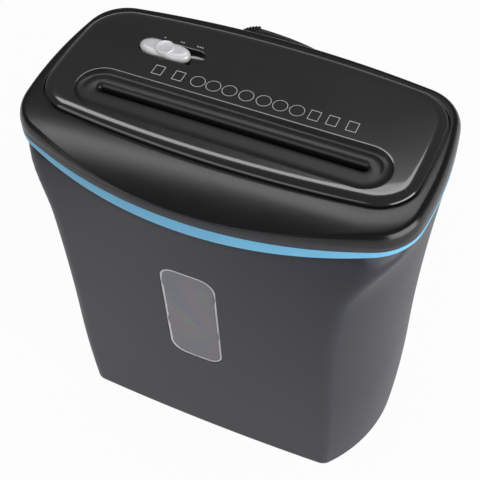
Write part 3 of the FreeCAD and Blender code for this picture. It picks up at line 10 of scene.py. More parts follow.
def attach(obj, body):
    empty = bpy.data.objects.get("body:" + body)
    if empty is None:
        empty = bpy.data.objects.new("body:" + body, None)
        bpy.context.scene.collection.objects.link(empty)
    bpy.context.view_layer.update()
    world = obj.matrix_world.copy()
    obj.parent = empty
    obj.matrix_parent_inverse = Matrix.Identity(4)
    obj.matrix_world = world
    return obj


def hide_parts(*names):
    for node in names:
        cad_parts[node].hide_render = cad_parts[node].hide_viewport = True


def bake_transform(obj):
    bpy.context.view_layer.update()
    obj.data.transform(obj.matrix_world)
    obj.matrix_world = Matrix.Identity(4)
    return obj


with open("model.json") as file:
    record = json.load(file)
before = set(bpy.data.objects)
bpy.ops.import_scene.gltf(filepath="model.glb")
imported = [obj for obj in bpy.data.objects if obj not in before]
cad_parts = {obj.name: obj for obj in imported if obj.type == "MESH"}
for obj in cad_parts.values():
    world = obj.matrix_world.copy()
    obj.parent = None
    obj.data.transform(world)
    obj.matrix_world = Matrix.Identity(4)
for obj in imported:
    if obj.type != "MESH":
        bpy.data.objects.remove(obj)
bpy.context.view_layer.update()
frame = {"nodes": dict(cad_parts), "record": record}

bl_info = {
    "name": "Paper Shredder",
    "version": (1, 0, 0),
    "blender": (4, 5, 0),
    "location": "View3D > Sidebar > Shredder",
    "description": "Dresses the paper shredder's frame: housing, switch, lead, finishes and stage",
    "category": "Object",
}


# ---------------------------------------------------------------- sizes and colours to change
def length(name, about, value):
    return bpy.props.FloatProperty(name=name, description=about, default=value, min=0.0,
                                   precision=4, unit="LENGTH")


def share(name, about, value):
    return bpy.props.FloatProperty(name=name, description=about, default=value, min=0.0, max=1.0,
                                   subtype="FACTOR")


def colour(name, about, value):
    return bpy.props.FloatVectorProperty(name=name, description=about, default=value, size=3,
                                         min=0.0, max=1.0, subtype="COLOR")


class HeadSizes(bpy.types.PropertyGroup):
    """Sizes of the head's mouldings"""
    half: length("Half width", "From the middle to the end of the band", 0.1640)
    depth: length("Half depth", "From the middle to the front and back of the band", 0.098)
    band_low: length("Band bottom", "Height of the band's lower edge", 0.3095)
    trim_high: length("Trim top", "Height of the blue trim's upper edge in the middle", 0.3118)
    trim_rise: length("Trim rise", "How much higher the trim's upper edge is at the ends", 0.0012)
    cover_dip: length("Cover dip", "How far the cover's lower edge dips to the ends", 0.0058)
    band_high: length("Band top", "Height of the band's upper edge", 0.320)
    seam: length("Seam", "Gap between the band and the cover", 0.0008)
    shoulder: length("Shoulder height", "Height of the cover's flat shoulder", 0.3298)
    shoulder_roll: length("Shoulder roll", "Width of the rolled edge of the cover", 0.0070)
    slope_bow: length("Slope bow", "Radius of the slope at the front of the cover", 0.170)
    slope_start: share("Slope start", "Fall of the slope where it leaves the panel", 0.05)
    groove: length("Groove", "Width of the groove round the panel", 0.0012)
    panel_top: length("Panel top", "Height of the gloss panel", 0.3337)
    panel_seat: length("Panel seat", "Height of the ledge under the panel", 0.3277)
    panel_roll: length("Panel roll", "Width of the panel's rolled edge", 0.0095)
    panel_drop: length("Panel drop", "Height of the panel's rolled edge", 0.0038)


class EntrySizes(bpy.types.PropertyGroup):
    """Sizes of the paper entry and the switch"""
    tray_half: length("Tray half length", "From the middle to the end of the tray", 0.1272)
    tray_width: length("Tray width", "Width of the tray round the entry", 0.0418)
    slot_low: length("Slot bottom", "Height down to which the slot's walls reach", 0.3115)
    knob_length: length("Knob length", "Length of the mode switch", 0.043)
    knob_width: length("Knob width", "Width of the mode switch's lobes", 0.0172)
    mark: length("Mark size", "Width of the small printed marks", 0.0120)


class BinSizes(bpy.types.PropertyGroup):
    """Sizes of the waste bin and its window"""
    foot_front: length("Foot, front", "From the middle to the front of the foot", 0.0815)
    foot_back: length("Foot, back", "From the middle to the back of the foot", 0.084)
    half: length("Half width", "From the middle to the end, low down", 0.1540)
    rim_half: length("Rim half width", "From the middle to the end, at the rim", 0.1630)
    rim_depth: length("Rim half depth", "From the middle to the front and back, at the rim", 0.0973)
    end_round: length("End radius", "Radius of the rounded ends, low down", 0.1270)
    flare_low: length("Flare start", "Height at which the ends start to open to the rim", 0.2450)
    flare_high: length("Flare end", "Height at which the ends reach the rim's outline", 0.3050)
    wall: length("Wall", "Thickness of the bin's wall", 0.0024)
    soft_edge: length("Soft edge", "Radius where the front runs into the ends", 0.0032)
    foot_roll: length("Foot roll", "Radius of the front and back at the foot", 0.0035)
    window_width: length("Window width", "Width of the window", 0.048)
    window_height: length("Window height", "Height of the window", 0.122)
    window_corner: length("Window corner", "Radius of the window's corners", 0.014)
    window_rim: length("Window rim", "Width of the pale rim round the window", 0.0018)


class LeadSizes(bpy.types.PropertyGroup):
    """Sizes of the supply lead"""
    thick: length("Lead diameter", "Diameter of the lead", 0.0064)
    inner: length("Inner turns", "Radius of the coil's inner turns", 0.030)
    outer: length("Outer turns", "Radius of the coil's outer turns", 0.0368)
    ribs: bpy.props.IntProperty(name="Relief ribs", description="Ribs of the strain relief",
                                default=9, min=3, max=14)


class Colours(bpy.types.PropertyGroup):
    """Colours of the finishes"""
    bin: colour("Bin", "Satin plastic of the bin", (0.0255, 0.0265, 0.0370))
    band: colour("Band", "Plastic of the band under the cover", (0.030, 0.031, 0.038))
    cover: colour("Cover", "Black plastic of the cover", (0.0058, 0.0058, 0.0068))
    panel: colour("Panel", "Gloss black of the panel", (0.0170, 0.0170, 0.0190))
    tray: colour("Tray", "Satin black of the paper tray", (0.0105, 0.0108, 0.0115))
    trim: colour("Trim", "Blue of the trim ring", (0.190, 0.550, 0.850))
    # Near-white base for the switch: its pale metal colour is pushed up to paint on the bright sheen that
    # its highlights would give.
    silver_and_sheen: colour("Silver", "Painted silver of the switch", (0.97, 0.97, 1.0))
    window: colour("Window", "Tint of the window", (0.200, 0.203, 0.222))
    print: colour("Print", "Ink of the printed marks", (0.74, 0.75, 0.76))
    rubber: colour("Lead", "Black rubber of the lead", (0.014, 0.014, 0.015))


class StageSettings(bpy.types.PropertyGroup):
    """Light and floor"""
    key: bpy.props.FloatProperty(name="Key light", description="Power of the large lamp in front",
                                 default=15.0, min=0.0, unit="POWER")
    over: bpy.props.FloatProperty(name="Overhead light", description="Power of the long lamp overhead",
                                  default=10.8, min=0.0, unit="POWER")
    side: bpy.props.FloatProperty(name="Side light", description="Power of the lamp at the side",
                                  default=34.0, min=0.0, unit="POWER")
    sky: share("Sky", "Brightness of the light from all round", 0.13)
    floor: share("Floor", "How white the floor is", 0.86)


def sizes():
    """The settings of the head and of the paper entry."""
    return bpy.context.scene.shredder_head, bpy.context.scene.shredder_entry


# ---------------------------------------------------------------- making meshes
ACROSS, AWAY = Vector((1, 0, 0)), Vector((0, 1, 0))   # to the right, and to the back


def add_object(name, mesh, body, slot=None, look=None):
    """A finished mesh as a piece that rides on a body and has one finish."""
    piece = bpy.data.objects.new(name, mesh)
    bpy.context.scene.collection.objects.link(piece)
    piece.data.materials.append(finish(look or slot))
    if body:
        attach(piece, body)
    return piece


def add_skin(name, rows, body, slot, look=None, **how):
    """A piece whose mesh is a skin through rows of points."""
    return add_object(name, skin(name, rows, **how), body, slot, look)


def add_rows(form, rows, caps=(False, False)):
    """Adds closed rows of quads to a mesh in the making and returns its rings."""
    rings = [[form.verts.new(point) for point in row] for row in rows]
    for low, high in zip(rings, rings[1:]):
        for index in range(len(low)):
            after = (index + 1) % len(low)
            form.faces.new((low[index], low[after], high[after], high[index]))
    if caps[0]:
        form.faces.new(rings[0])
    if caps[1]:
        form.faces.new(rings[-1])
    return rings


def skin(name, rows, caps=(False, False), crease=40.0, merge=0.0):
    """A mesh of quads through closed rows of points, one row after the other."""
    form = bmesh.new()
    add_rows(form, rows, caps)
    if merge:
        bmesh.ops.remove_doubles(form, verts=form.verts, dist=merge)
    return finish_mesh(name, form, crease)


def finish_mesh(name, form, crease=40.0):
    """Ends a mesh in the making: smooth, with edges sharper than the crease angle kept."""
    bmesh.ops.recalc_face_normals(form, faces=form.faces)
    mesh = bpy.data.meshes.new(name)
    form.to_mesh(mesh)
    form.free()
    mesh.shade_smooth()
    mesh.set_sharp_from_angle(angle=math.radians(crease))
    return mesh


def circle(middle, side, up, radius, count):
    """Points of a circle round a middle, from two directions that are square to each other."""
    return [middle + side * (radius * math.cos(angle)) + up * (radius * math.sin(angle))
            for angle in (2 * math.pi * step / count for step in range(count))]


def smooth(low, high, value):
    """Rises softly from 0 at low to 1 at high."""
    part = min(max((value - low) / (high - low), 0.0), 1.0)
    return part * part * (3 - 2 * part)


def along_table(table, value):
    """A value between the rows of a table of (place, value), eased from row to row."""
    for (low, first), (high, second) in zip(table, table[1:]):
        if value <= high:
            return first + (second - first) * smooth(low, high, value)
    return table[-1][1]


# ---------------------------------------------------------------- outlines of the mouldings
class Outline:
    """A closed outline of eight tangent arcs: bowed front and back, bowed ends, four corners."""

    def __init__(self, half, front, back, end_bow, front_bow, back_bow, front_corner, back_corner,
                 mid=0.0):
        self.values = (half, front, back, end_bow, front_bow, back_bow, front_corner, back_corner)
        self.mid = mid

    def offset(self, by):
        return Outline(*[value + by for value in self.values], mid=self.mid)

    def corner(self, depth, bow, corner):
        """Middle of a corner's arc, and the angles at which it meets the end and the long side."""
        half, end_bow = self.values[0], self.values[3]
        long_middle, end_middle = Vector((0, depth - bow)), Vector((half - end_bow, 0))
        link = end_middle - long_middle
        reach, other, span = bow - corner, end_bow - corner, link.length
        along = (reach ** 2 - other ** 2 + span ** 2) / (2 * span)
        across = math.sqrt(reach ** 2 - along ** 2)
        link.normalize()
        middle = long_middle + link * along + Vector((link.y, -link.x)) * across
        to_end, to_long = middle - end_middle, middle - long_middle
        return middle, math.atan2(to_end.y, to_end.x), math.atan2(to_long.y, to_long.x)

    def points(self, height):
        """Points round the outline at one height, the same in number for every offset."""
        long_steps, corner_steps, end_steps = 26, 14, 20
        half, front, back, end_bow, front_bow, back_bow, front_corner, back_corner = self.values
        fore, fore_end, fore_long = self.corner(front, front_bow, front_corner)
        rear, rear_end, rear_long = self.corner(back, back_bow, back_corner)
        quarter = math.pi / 2
        arcs = (
            ((0, front_bow - front), front_bow, -quarter, -fore_long, long_steps),
            ((fore.x, -fore.y), front_corner, -fore_long, -fore_end, corner_steps),
            ((half - end_bow, 0), end_bow, -fore_end, rear_end, end_steps),
            ((rear.x, rear.y), back_corner, rear_end, rear_long, corner_steps),
            ((0, back - back_bow), back_bow, rear_long, quarter, long_steps),
        )
        right = []
        for (x, y), radius, start, end, steps in arcs:
            for step in range(steps):
                angle = start + (end - start) * step / steps
                right.append((x + radius * math.cos(angle), y + radius * math.sin(angle)))
        right.append((0.0, back))
        round_it = right + [(-x, y) for x, y in reversed(right[1:-1])]
        return [Vector((x, y + self.mid, height)) for x, y in round_it]


# Radii of the front and back, which the bin and the head share, and the panel's outline
FRONT_BOW, BACK_BOW = 0.356, 0.900
PANEL_HALF, PANEL_DEPTH, PANEL_CORNER, PANEL_MIDDLE = 0.152, 0.0696, 0.0345, 0.0158
# The bin's rim: its height in the middle and the radius of its bow
RIM_LOWEST, RIM_BOW = 0.2996, 1.420


def head_outline():
    """Outline of the band, from which the trim and the cover are offset."""
    head = bpy.context.scene.shredder_head
    return Outline(head.half, head.depth, head.depth, end_bow=0.327, front_bow=FRONT_BOW,
                   back_bow=BACK_BOW, front_corner=0.0405, back_corner=0.0365)


def panel_outline():
    """Outline of the gloss panel."""
    return Outline(PANEL_HALF, PANEL_DEPTH, PANEL_DEPTH, end_bow=0.500, front_bow=1.030,
                   back_bow=1.030, front_corner=PANEL_CORNER, back_corner=PANEL_CORNER,
                   mid=PANEL_MIDDLE)


def rim_height(x):
    """Height of the bin's rim, which dips in a shallow bow to the middle."""
    return RIM_LOWEST + RIM_BOW - math.sqrt(RIM_BOW ** 2 - x ** 2)


def stadium(half_length, radius, x, y, height):
    """Points round a level slot outline along X."""
    straight, bend, reach, points = 56, 26, half_length - radius, []
    for side in (1, -1):
        for step in range(straight):
            along = side * reach * (2 * step / straight - 1)
            points.append(Vector((x + along, y - side * radius, height)))
        for step in range(bend):
            angle = math.pi * (step / bend - side / 2)
            points.append(Vector((x + side * reach + radius * math.cos(angle),
                                  y + radius * math.sin(angle), height)))
    return points


# ---------------------------------------------------------------- shader groups
def new_group(name, inputs, outputs):
    """An empty node group with named number inputs and (name, kind) outputs."""
    group = bpy.data.node_groups.new(name, "ShaderNodeTree")
    for label, value in inputs:
        socket = group.interface.new_socket(label, in_out="INPUT", socket_type="NodeSocketFloat")
        socket.default_value = value
    for label, kind in outputs:
        group.interface.new_socket(label, in_out="OUTPUT", socket_type=kind)
    return group, group.nodes.new("NodeGroupInput"), group.nodes.new("NodeGroupOutput")


def add_node(tree, kind, **settings):
    """A new node with these settings."""
    node = tree.nodes.new(kind)
    for key, value in settings.items():
        setattr(node, key, value)
    return node


def object_place(tree):
    """The place in the object's own space, where noise is looked up."""
    return add_node(tree, "ShaderNodeTexCoord").outputs["Object"]


def noise(tree, coordinates, scale, detail=4.0, roughness=0.6):
    """Noise at a scale that is a number or a socket."""
    node = add_node(tree, "ShaderNodeTexNoise")
    node.inputs["Detail"].default_value = detail
    node.inputs["Roughness"].default_value = roughness
    tree.links.new(coordinates, node.inputs["Vector"])
    if isinstance(scale, float):
        node.inputs["Scale"].default_value = scale
    else:
        tree.links.new(scale, node.inputs["Scale"])
    return node.outputs["Fac"]


def arithmetic(tree, operation, first, second, clamp=False):
    """The result of a sum on two numbers or sockets."""
    node = add_node(tree, "ShaderNodeMath", operation=operation, use_clamp=clamp)
    for socket, value in zip(node.inputs, (first, second)):
        if isinstance(value, (int, float)):
            socket.default_value = value
        else:
            tree.links.new(value, socket)
    return node.outputs[0]


def ranged(tree, value, low, high, to_low=0.0, to_high=1.0):
    """A value moved from one range to another and held inside it."""
    node = add_node(tree, "ShaderNodeMapRange", clamp=True)
    tree.links.new(value, node.inputs["Value"])
    for label, number in zip(("From Min", "From Max", "To Min", "To Max"), (low, high, to_low, to_high)):
        node.inputs[label].default_value = number
    return node.outputs["Result"]


def grain_group():
    """Fine moulded or cast grain over slow clouds in the surface."""
    group, source, out = new_group("moulded_grain", [("Scale", 2200.0), ("Cloud Scale", 14.0)],
                                   [("Height", "NodeSocketFloat"), ("Cloud", "NodeSocketFloat")])
    where = object_place(group)
    fine = noise(group, where, source.outputs["Scale"], 2.0)
    cloud = noise(group, where, source.outputs["Cloud Scale"], 5.0)
    group.links.new(fine, out.inputs["Height"])
    group.links.new(ranged(group, cloud, 0.3, 0.7), out.inputs["Cloud"])
    return group


def wear_group():
    """A mask of rubbed edges, broken up by noise."""
    group, source, out = new_group("rubbed_edges", [("Reach", 0.02)], [("Mask", "NodeSocketFloat")])
    where = object_place(group)
    edge = add_node(group, "ShaderNodeNewGeometry").outputs["Pointiness"]
    sharp = arithmetic(group, "SUBTRACT", edge, 0.5)
    sharp = arithmetic(group, "DIVIDE", sharp, source.outputs["Reach"], True)
    patch = ranged(group, noise(group, where, 90.0, 6.0, 0.7), 0.42, 0.62)
    group.links.new(arithmetic(group, "MULTIPLY", sharp, patch), out.inputs["Mask"])
    return group


def dust_group():
    """Dust that settles on faces that look up."""
    group, source, out = new_group("settled_dust", [("Amount", 0.3)], [("Mask", "NodeSocketFloat")])
    geometry = add_node(group, "ShaderNodeNewGeometry")
    split = add_node(group, "ShaderNodeSeparateXYZ")
    group.links.new(geometry.outputs["Normal"], split.inputs[0])
    upward = ranged(group, split.outputs["Z"], 0.2, 1.0)
    where = object_place(group)
    flecks = ranged(group, noise(group, where, 420.0, 3.0, 0.7), 0.55, 0.75)
    film = ranged(group, noise(group, where, 9.0, 4.0), 0.35, 0.8, 0.15, 0.6)
    both = arithmetic(group, "MAXIMUM", flecks, film)
    mask = arithmetic(group, "MULTIPLY", arithmetic(group, "MULTIPLY", both, upward),
                      source.outputs["Amount"])
    group.links.new(mask, out.inputs["Mask"])
    return group


def brushed_group():
    """Fine machining lines that run along one axis."""
    group, source, out = new_group("machined_lines", [("Scale", 900.0)],
                                   [("Height", "NodeSocketFloat"), ("Tone", "NodeSocketFloat")])
    where = object_place(group)
    stretch = add_node(group, "ShaderNodeVectorMath", operation="MULTIPLY")
    stretch.inputs[1].default_value = (0.06, 1.0, 1.0)
    group.links.new(where, stretch.inputs[0])
    lines = noise(group, stretch.outputs[0], source.outputs["Scale"], 3.0)
    tone = ranged(group, noise(group, where, 35.0, 4.0), 0.3, 0.7)
    group.links.new(lines, out.inputs["Height"])
    group.links.new(tone, out.inputs["Tone"])
    return group


def film_group():
    """Soft rainbow bands of a clear sheet under stress."""
    group, source, out = new_group("stress_film", [("Bands", 24.0)], [("Color", "NodeSocketColor"),
                                                                     ("Ripple", "NodeSocketFloat")])
    where = object_place(group)
    bend = noise(group, where, 16.0, 3.0)
    split = add_node(group, "ShaderNodeSeparateXYZ")
    group.links.new(where, split.inputs[0])
    across = arithmetic(group, "MULTIPLY", split.outputs["X"], source.outputs["Bands"])
    up = arithmetic(group, "MULTIPLY", split.outputs["Z"], 5.0)
    phase = arithmetic(group, "ADD", arithmetic(group, "ADD", across, up),
                       arithmetic(group, "MULTIPLY", bend, 3.2))
    phase = arithmetic(group, "FRACT", phase, 0.0)
    ramp = add_node(group, "ShaderNodeValToRGB")
    ramp.color_ramp.interpolation = "EASE"
    bands = [(0.0, (0.252, 0.212, 0.235)), (0.25, (0.215, 0.245, 0.222)), (0.5, (0.172, 0.205, 0.290)),
             (0.75, (0.268, 0.205, 0.245)), (1.0, (0.252, 0.212, 0.235))]
    stops = ramp.color_ramp.elements
    while len(stops) < len(bands):
        stops.new(0.5)
    for stop, (place, tint) in zip(stops, bands):
        stop.position = place
        stop.color = (*tint, 1.0)
    group.links.new(phase, ramp.inputs[0])
    group.links.new(ramp.outputs["Color"], out.inputs["Color"])
    group.links.new(bend, out.inputs["Ripple"])
    return group


def shared(name):
    """One of the shader groups, made the first time it is asked for."""
    makers = {"moulded_grain": grain_group, "rubbed_edges": wear_group, "settled_dust": dust_group,
              "machined_lines": brushed_group, "stress_film": film_group}
    return bpy.data.node_groups.get(name) or makers[name]()


def use(tree, name, **values):
    """A shader group placed in a material, with its own values."""
    node = add_node(tree, "ShaderNodeGroup", node_tree=shared(name))
    for label, value in values.items():
        node.inputs[label.replace("_", " ")].default_value = value
    return node


# ---------------------------------------------------------------- materials
def blended(tree, mask, first, second):
    """Colour that goes from the first to the second as the mask rises."""
    node = add_node(tree, "ShaderNodeMix", data_type="RGBA")
    tree.links.new(mask, node.inputs["Factor"])
    for socket, value in ((node.inputs[6], first), (node.inputs[7], second)):
        if isinstance(value, bpy.types.NodeSocket):
            tree.links.new(value, socket)
        else:
            socket.default_value = (*value, 1.0)
    return node.outputs[2]


def scaled(value, by):
    """A colour made lighter or darker."""
    return tuple(min(part * by, 1.0) for part in value)


def new_finish(slot, **values):
    """A finish with these values on its shader; returns its nodes and the shader."""
    material = bpy.data.materials.new("finish_" + slot)
    material.use_nodes = True
    shader = material.node_tree.nodes["Principled BSDF"]
    for label, value in values.items():
        shader.inputs[label.replace("_", " ")].default_value = value
    return material.node_tree, shader


def moulded(slot, base, roughness, grain, scale, wear, dust, metallic=0.0, coat=0.0,
            coat_roughness=0.05, ior=1.5, contrast=0.12):
    """Plastic, paint or rubber: clouds in colour and gloss, fine grain, rubbed edges and dust."""
    tree, shader = new_finish(slot, Metallic=metallic, IOR=ior, Coat_Weight=coat,
                              Coat_Roughness=coat_roughness)
    surface = use(tree, "moulded_grain", Scale=scale)
    edges = use(tree, "rubbed_edges").outputs["Mask"]
    settled = use(tree, "settled_dust", Amount=dust).outputs["Mask"]
    cloud = surface.outputs["Cloud"]
    tone = blended(tree, cloud, scaled(base, 1 - contrast), scaled(base, 1 + contrast))
    rubbed = arithmetic(tree, "MULTIPLY", edges, wear)
    tone = blended(tree, rubbed, tone, scaled(base, 1.6))
    tone = blended(tree, arithmetic(tree, "MULTIPLY", settled, 0.06), tone, (0.36, 0.35, 0.34))
    tree.links.new(tone, shader.inputs["Base Color"])
    gloss = ranged(tree, cloud, 0.0, 1.0, roughness * 0.93, min(roughness * 1.07, 1.0))
    gloss = arithmetic(tree, "ADD", gloss, arithmetic(tree, "MULTIPLY", settled, 0.12), True)
    tree.links.new(gloss, shader.inputs["Roughness"])
    add_bump(tree, shader, surface.outputs["Height"], grain)


def add_bump(tree, shader, height, depth, strength=1.0):
    """Leads a height to the shader as fine relief."""
    bump = add_node(tree, "ShaderNodeBump")
    bump.inputs["Distance"].default_value = depth
    bump.inputs["Strength"].default_value = strength
    tree.links.new(height, bump.inputs["Height"])
    tree.links.new(bump.outputs["Normal"], shader.inputs["Normal"])


def machined(slot, base, roughness, scale=900.0):
    """Bare metal with fine lines, clouded by handling and oil."""
    tree, shader = new_finish(slot, Metallic=1.0)
    lines = use(tree, "machined_lines", Scale=scale)
    edges = use(tree, "rubbed_edges").outputs["Mask"]
    tone = blended(tree, lines.outputs["Tone"], scaled(base, 0.78), base)
    tone = blended(tree, edges, tone, scaled(base, 1.25))
    tree.links.new(tone, shader.inputs["Base Color"])
    gloss = ranged(tree, lines.outputs["Tone"], 0.0, 1.0, roughness * 1.25, roughness * 0.8)
    tree.links.new(gloss, shader.inputs["Roughness"])
    add_bump(tree, shader, lines.outputs["Height"], 0.00001)


def clear_pane(slot, tint):
    """Clear hazy plastic with soft rainbow bands."""
    tree, shader = new_finish(slot, IOR=1.5, Transmission_Weight=0.12)
    film = use(tree, "stress_film")
    cloud = use(tree, "moulded_grain", Scale=700.0, Cloud_Scale=30.0)
    tone = blended(tree, cloud.outputs["Cloud"], film.outputs["Color"], tint)
    tree.links.new(tone, shader.inputs["Base Color"])
    gloss = ranged(tree, cloud.outputs["Cloud"], 0.0, 1.0, 0.16, 0.24)
    tree.links.new(gloss, shader.inputs["Roughness"])
    add_bump(tree, shader, film.outputs["Ripple"], 0.0004, 0.25)


def make_finishes():
    """Makes every finish, named after its slot in the record."""
    pick = bpy.context.scene.shredder_colours
    # slot, colour, roughness, depth and fineness of the grain, worn edges, dust
    moulded("bin_plastic", pick.bin, 0.38, 0.00003, 1500.0, 0.2, 0.2, ior=1.46)
    clear_pane("window_clear", pick.window)
    moulded("window_rim", (0.66, 0.65, 0.68), 0.3, 0.00001, 900.0, 0.1, 0.1)
    moulded("band_plastic", pick.band, 0.42, 0.00002, 1500.0, 0.2, 0.2)
    moulded("trim_blue", pick.trim, 0.34, 0.00001, 1800.0, 0.1, 0.2, contrast=0.04)
    moulded("cover_black", pick.cover, 0.22, 0.000012, 2600.0, 0.2, 0.15)
    moulded("panel_gloss", pick.panel, 0.16, 0.000002, 900.0, 0.15, 0.3, coat=1.0, coat_roughness=0.03)
    moulded("tray_satin", pick.tray, 0.33, 0.000012, 2400.0, 0.2, 0.3)
    moulded("print_white", pick.print, 0.55, 0.000005, 3000.0, 0.0, 0.1)
    # switch: pale metal colour raised to near white, a painted sheen standing in for the metal's reflected
    # highlights
    moulded("switch_silver", pick.silver_and_sheen, 0.30, 0.000004, 3800.0, 0.1, 0.1, metallic=0.1, coat=0.4,
            contrast=0.03)
    moulded("white_plastic", (0.66, 0.65, 0.61), 0.4, 0.00001, 1500.0, 0.1, 0.5)
    moulded("black_plastic", (0.020, 0.020, 0.022), 0.42, 0.00002, 2000.0, 0.3, 0.3)
    moulded("comb_plastic", (0.045, 0.046, 0.048), 0.45, 0.00002, 2000.0, 0.3, 0.6)
    moulded("board_green", (0.018, 0.115, 0.045), 0.35, 0.00001, 1800.0, 0.1, 0.3, coat=0.4)
    moulded("cord_rubber", pick.rubber, 0.46, 0.00001, 3000.0, 0.3, 0.2)
    # slot, colour, roughness, fineness of the lines
    machined("cutter_steel", (0.56, 0.57, 0.58), 0.30)
    machined("plate_steel", (0.60, 0.61, 0.62), 0.36, 500.0)
    machined("gear_steel", (0.44, 0.45, 0.46), 0.34)
    machined("motor_steel", (0.50, 0.51, 0.52), 0.28, 1400.0)
    machined("bush_bronze", (0.58, 0.40, 0.20), 0.34)
    machined("pin_metal", (0.72, 0.70, 0.66), 0.22, 1800.0)


def finish(slot):
    """The finish of a slot; the first call makes them all."""
    if not bpy.data.materials.get("finish_bin_plastic"):
        make_finishes()
    return bpy.data.materials["finish_" + slot]


# ---------------------------------------------------------------- waste bin
RIM_LEVEL = 0.3005         # where the front and back reach the rim's depth
LOW_FRONT_BOW = 2.5        # radius of the front's bow at the foot
WAIST = 0.110              # below it the ends draw in to the toe, above it they spread to the rim
TOE_IN = 0.0048            # how far the ends draw in at the foot
SPREAD = 0.190             # height over which they spread to the rim
RIM_END_BOW = 0.325        # radius of the ends at the rim
RIM_EDGE = 0.0385          # radius of the corners at the rim
END_MIDDLE = 0.006         # how far behind the middle the ends are centred, low down
WINDOW_MIDDLE = 0.184      # height of the window's middle


def front_wall(z):
    """How far the front stands out at this height, and the radius of its bow."""
    size = bpy.context.scene.shredder_bin
    part = z / RIM_LEVEL
    return (size.foot_front + (size.rim_depth - size.foot_front) * part,
            LOW_FRONT_BOW + (FRONT_BOW - LOW_FRONT_BOW) * part)


def rounded(first, second, radius):
    """Distance to where two forms meet, with that edge rounded."""
    a, b = first + radius, second + radius
    outside = np.hypot(np.maximum(a, 0), np.maximum(b, 0))
    return outside + np.minimum(np.maximum(a, b), 0) - radius


def bin_distance(x, y, z, inset):
    """How far points lie outside the bin's form, set in by a wall."""
    size = bpy.context.scene.shredder_bin
    front, front_bow = front_wall(z)
    back = size.foot_back + (size.rim_depth - size.foot_back) * z / RIM_LEVEL
    under = np.clip((size.foot_roll - z) / size.foot_roll, 0, 1)
    tuck = size.foot_roll * (1 - np.sqrt(1 - under ** 2)) + inset
    front_face = np.hypot(x, y - (front_bow - front)) - front_bow + tuck
    back_face = np.hypot(x, y - (back - BACK_BOW)) - BACK_BOW + tuck
    climb = np.clip((z - size.flare_low) / (size.flare_high - size.flare_low), 0, 1)
    flare = 1 - np.sqrt(1 - climb ** 2)
    spread = np.clip((z - WAIST) / SPREAD, 0, 1) ** 2
    toe = TOE_IN * np.clip((WAIST - z) / WAIST, 0, 1) ** 2
    reach = size.half - toe + (size.rim_half - size.half) * spread
    radius = 1 / (1 / size.end_round + (1 / RIM_END_BOW - 1 / size.end_round) * flare)
    past = np.maximum(np.abs(x) - reach + radius, 0)
    ends = np.hypot(past, y - END_MIDDLE * (1 - flare)) - radius + inset
    soft = size.soft_edge + (RIM_EDGE - size.soft_edge) * flare ** 1.8
    return np.maximum(rounded(front_face, ends, soft), rounded(back_face, ends, soft))


def bin_row(heights, inset, angles):
    """Points where rays from the middle, one for each angle, meet the bin's form."""
    away_x, away_y = np.cos(angles), np.sin(angles)
    near, far = np.full(len(angles), 0.01), np.full(len(angles), 0.21)
    for _ in range(30):
        middle = (near + far) / 2
        outside = bin_distance(middle * away_x, middle * away_y, heights, inset) > 0
        far = np.where(outside, middle, far)
        near = np.where(outside, near, middle)
    return near * away_x, near * away_y


def bin_rows():
    """Rows of the bin's skin: from under the foot, up the outside, over the rim and down inside."""
    angles = np.linspace(0, 2 * math.pi, 480, endpoint=False)
    wall = bpy.context.scene.shredder_bin.wall
    foot_width, hollow, foot, even_from = 0.022, 0.006, 0.0016, 0.016
    lip, inside_floor, steps, inside_steps = 0.0006, 0.0106, 52, 24
    rim = np.full(len(angles), 0.303)
    for _ in range(3):
        rim = np.array([rim_height(x) for x in bin_row(rim, 0.0, angles)[0]])
    rows = []

    def add(heights, inset):
        x, y = bin_row(heights, inset, angles)
        rows.append([Vector(point) for point in zip(x, y, heights)])

    flat = np.ones(len(angles))
    add(flat * hollow, foot_width)
    add(flat * 0.0, foot_width)
    for height in (0.0, 0.0002, 0.0005, 0.0009, foot):
        tuck = foot * (1 - math.sqrt(max(1 - ((foot - height) / foot) ** 2, 0)))
        add(flat * height, tuck)
    for height in (0.003, 0.005, 0.0075, 0.010, 0.013, even_from):
        add(flat * height, 0.0)
    for step in range(1, steps + 1):
        add(even_from + (rim - lip - even_from) * step / steps, 0.0)
    for drop, inset in ((0.00025, 0.0001), (0.0001, 0.00025), (0.0, lip), (0.0, wall - lip),
                        (0.0001, wall - 0.00025), (0.00025, wall - 0.0001), (lip, wall)):
        add(rim - drop, inset)
    for step in range(1, inside_steps):
        part = step / inside_steps
        add((rim - lip) * (1 - part) + inside_floor * part, wall)
    add(flat * inside_floor, wall)
    add(flat * (inside_floor - 0.0018), wall + 0.0006)
    add(flat * (inside_floor - 0.0020), wall + 0.002)
    return rows


def rounded_corners(half_x, half_z, corner, x, z):
    """Points round a rectangle with rounded corners, with points along its sides as well."""
    bend, sides, quarter = 10, 12, math.pi / 2
    points = []
    middles = [(1, -1), (1, 1), (-1, 1), (-1, -1)]
    for index, (sx, sz) in enumerate(middles):
        cx, cz = sx * (half_x - corner), sz * (half_z - corner)
        start = -quarter + index * quarter
        for step in range(bend + 1):
            angle = start + quarter * step / bend
            points.append((cx + corner * math.cos(angle), cz + corner * math.sin(angle)))
        nx, nz = middles[(index + 1) % 4]
        end = start + quarter
        first = points[-1]
        last = (nx * (half_x - corner) + corner * math.cos(end),
                nz * (half_z - corner) + corner * math.sin(end))
        for step in range(1, sides):
            part = step / sides
            points.append((first[0] + (last[0] - first[0]) * part, first[1] + (last[1] - first[1]) * part))
    return [(px + x, pz + z) for px, pz in points]


def rounded_block(name, half_x, half_z, corner, x, z, y_low, y_high):
    """A block along Y with rounded corners, as a mesh for cutting."""
    rows = [[Vector((px, y, pz)) for px, pz in rounded_corners(half_x, half_z, corner, x, z)]
            for y in (y_low, y_high)]
    return skin(name, rows, caps=(True, True))


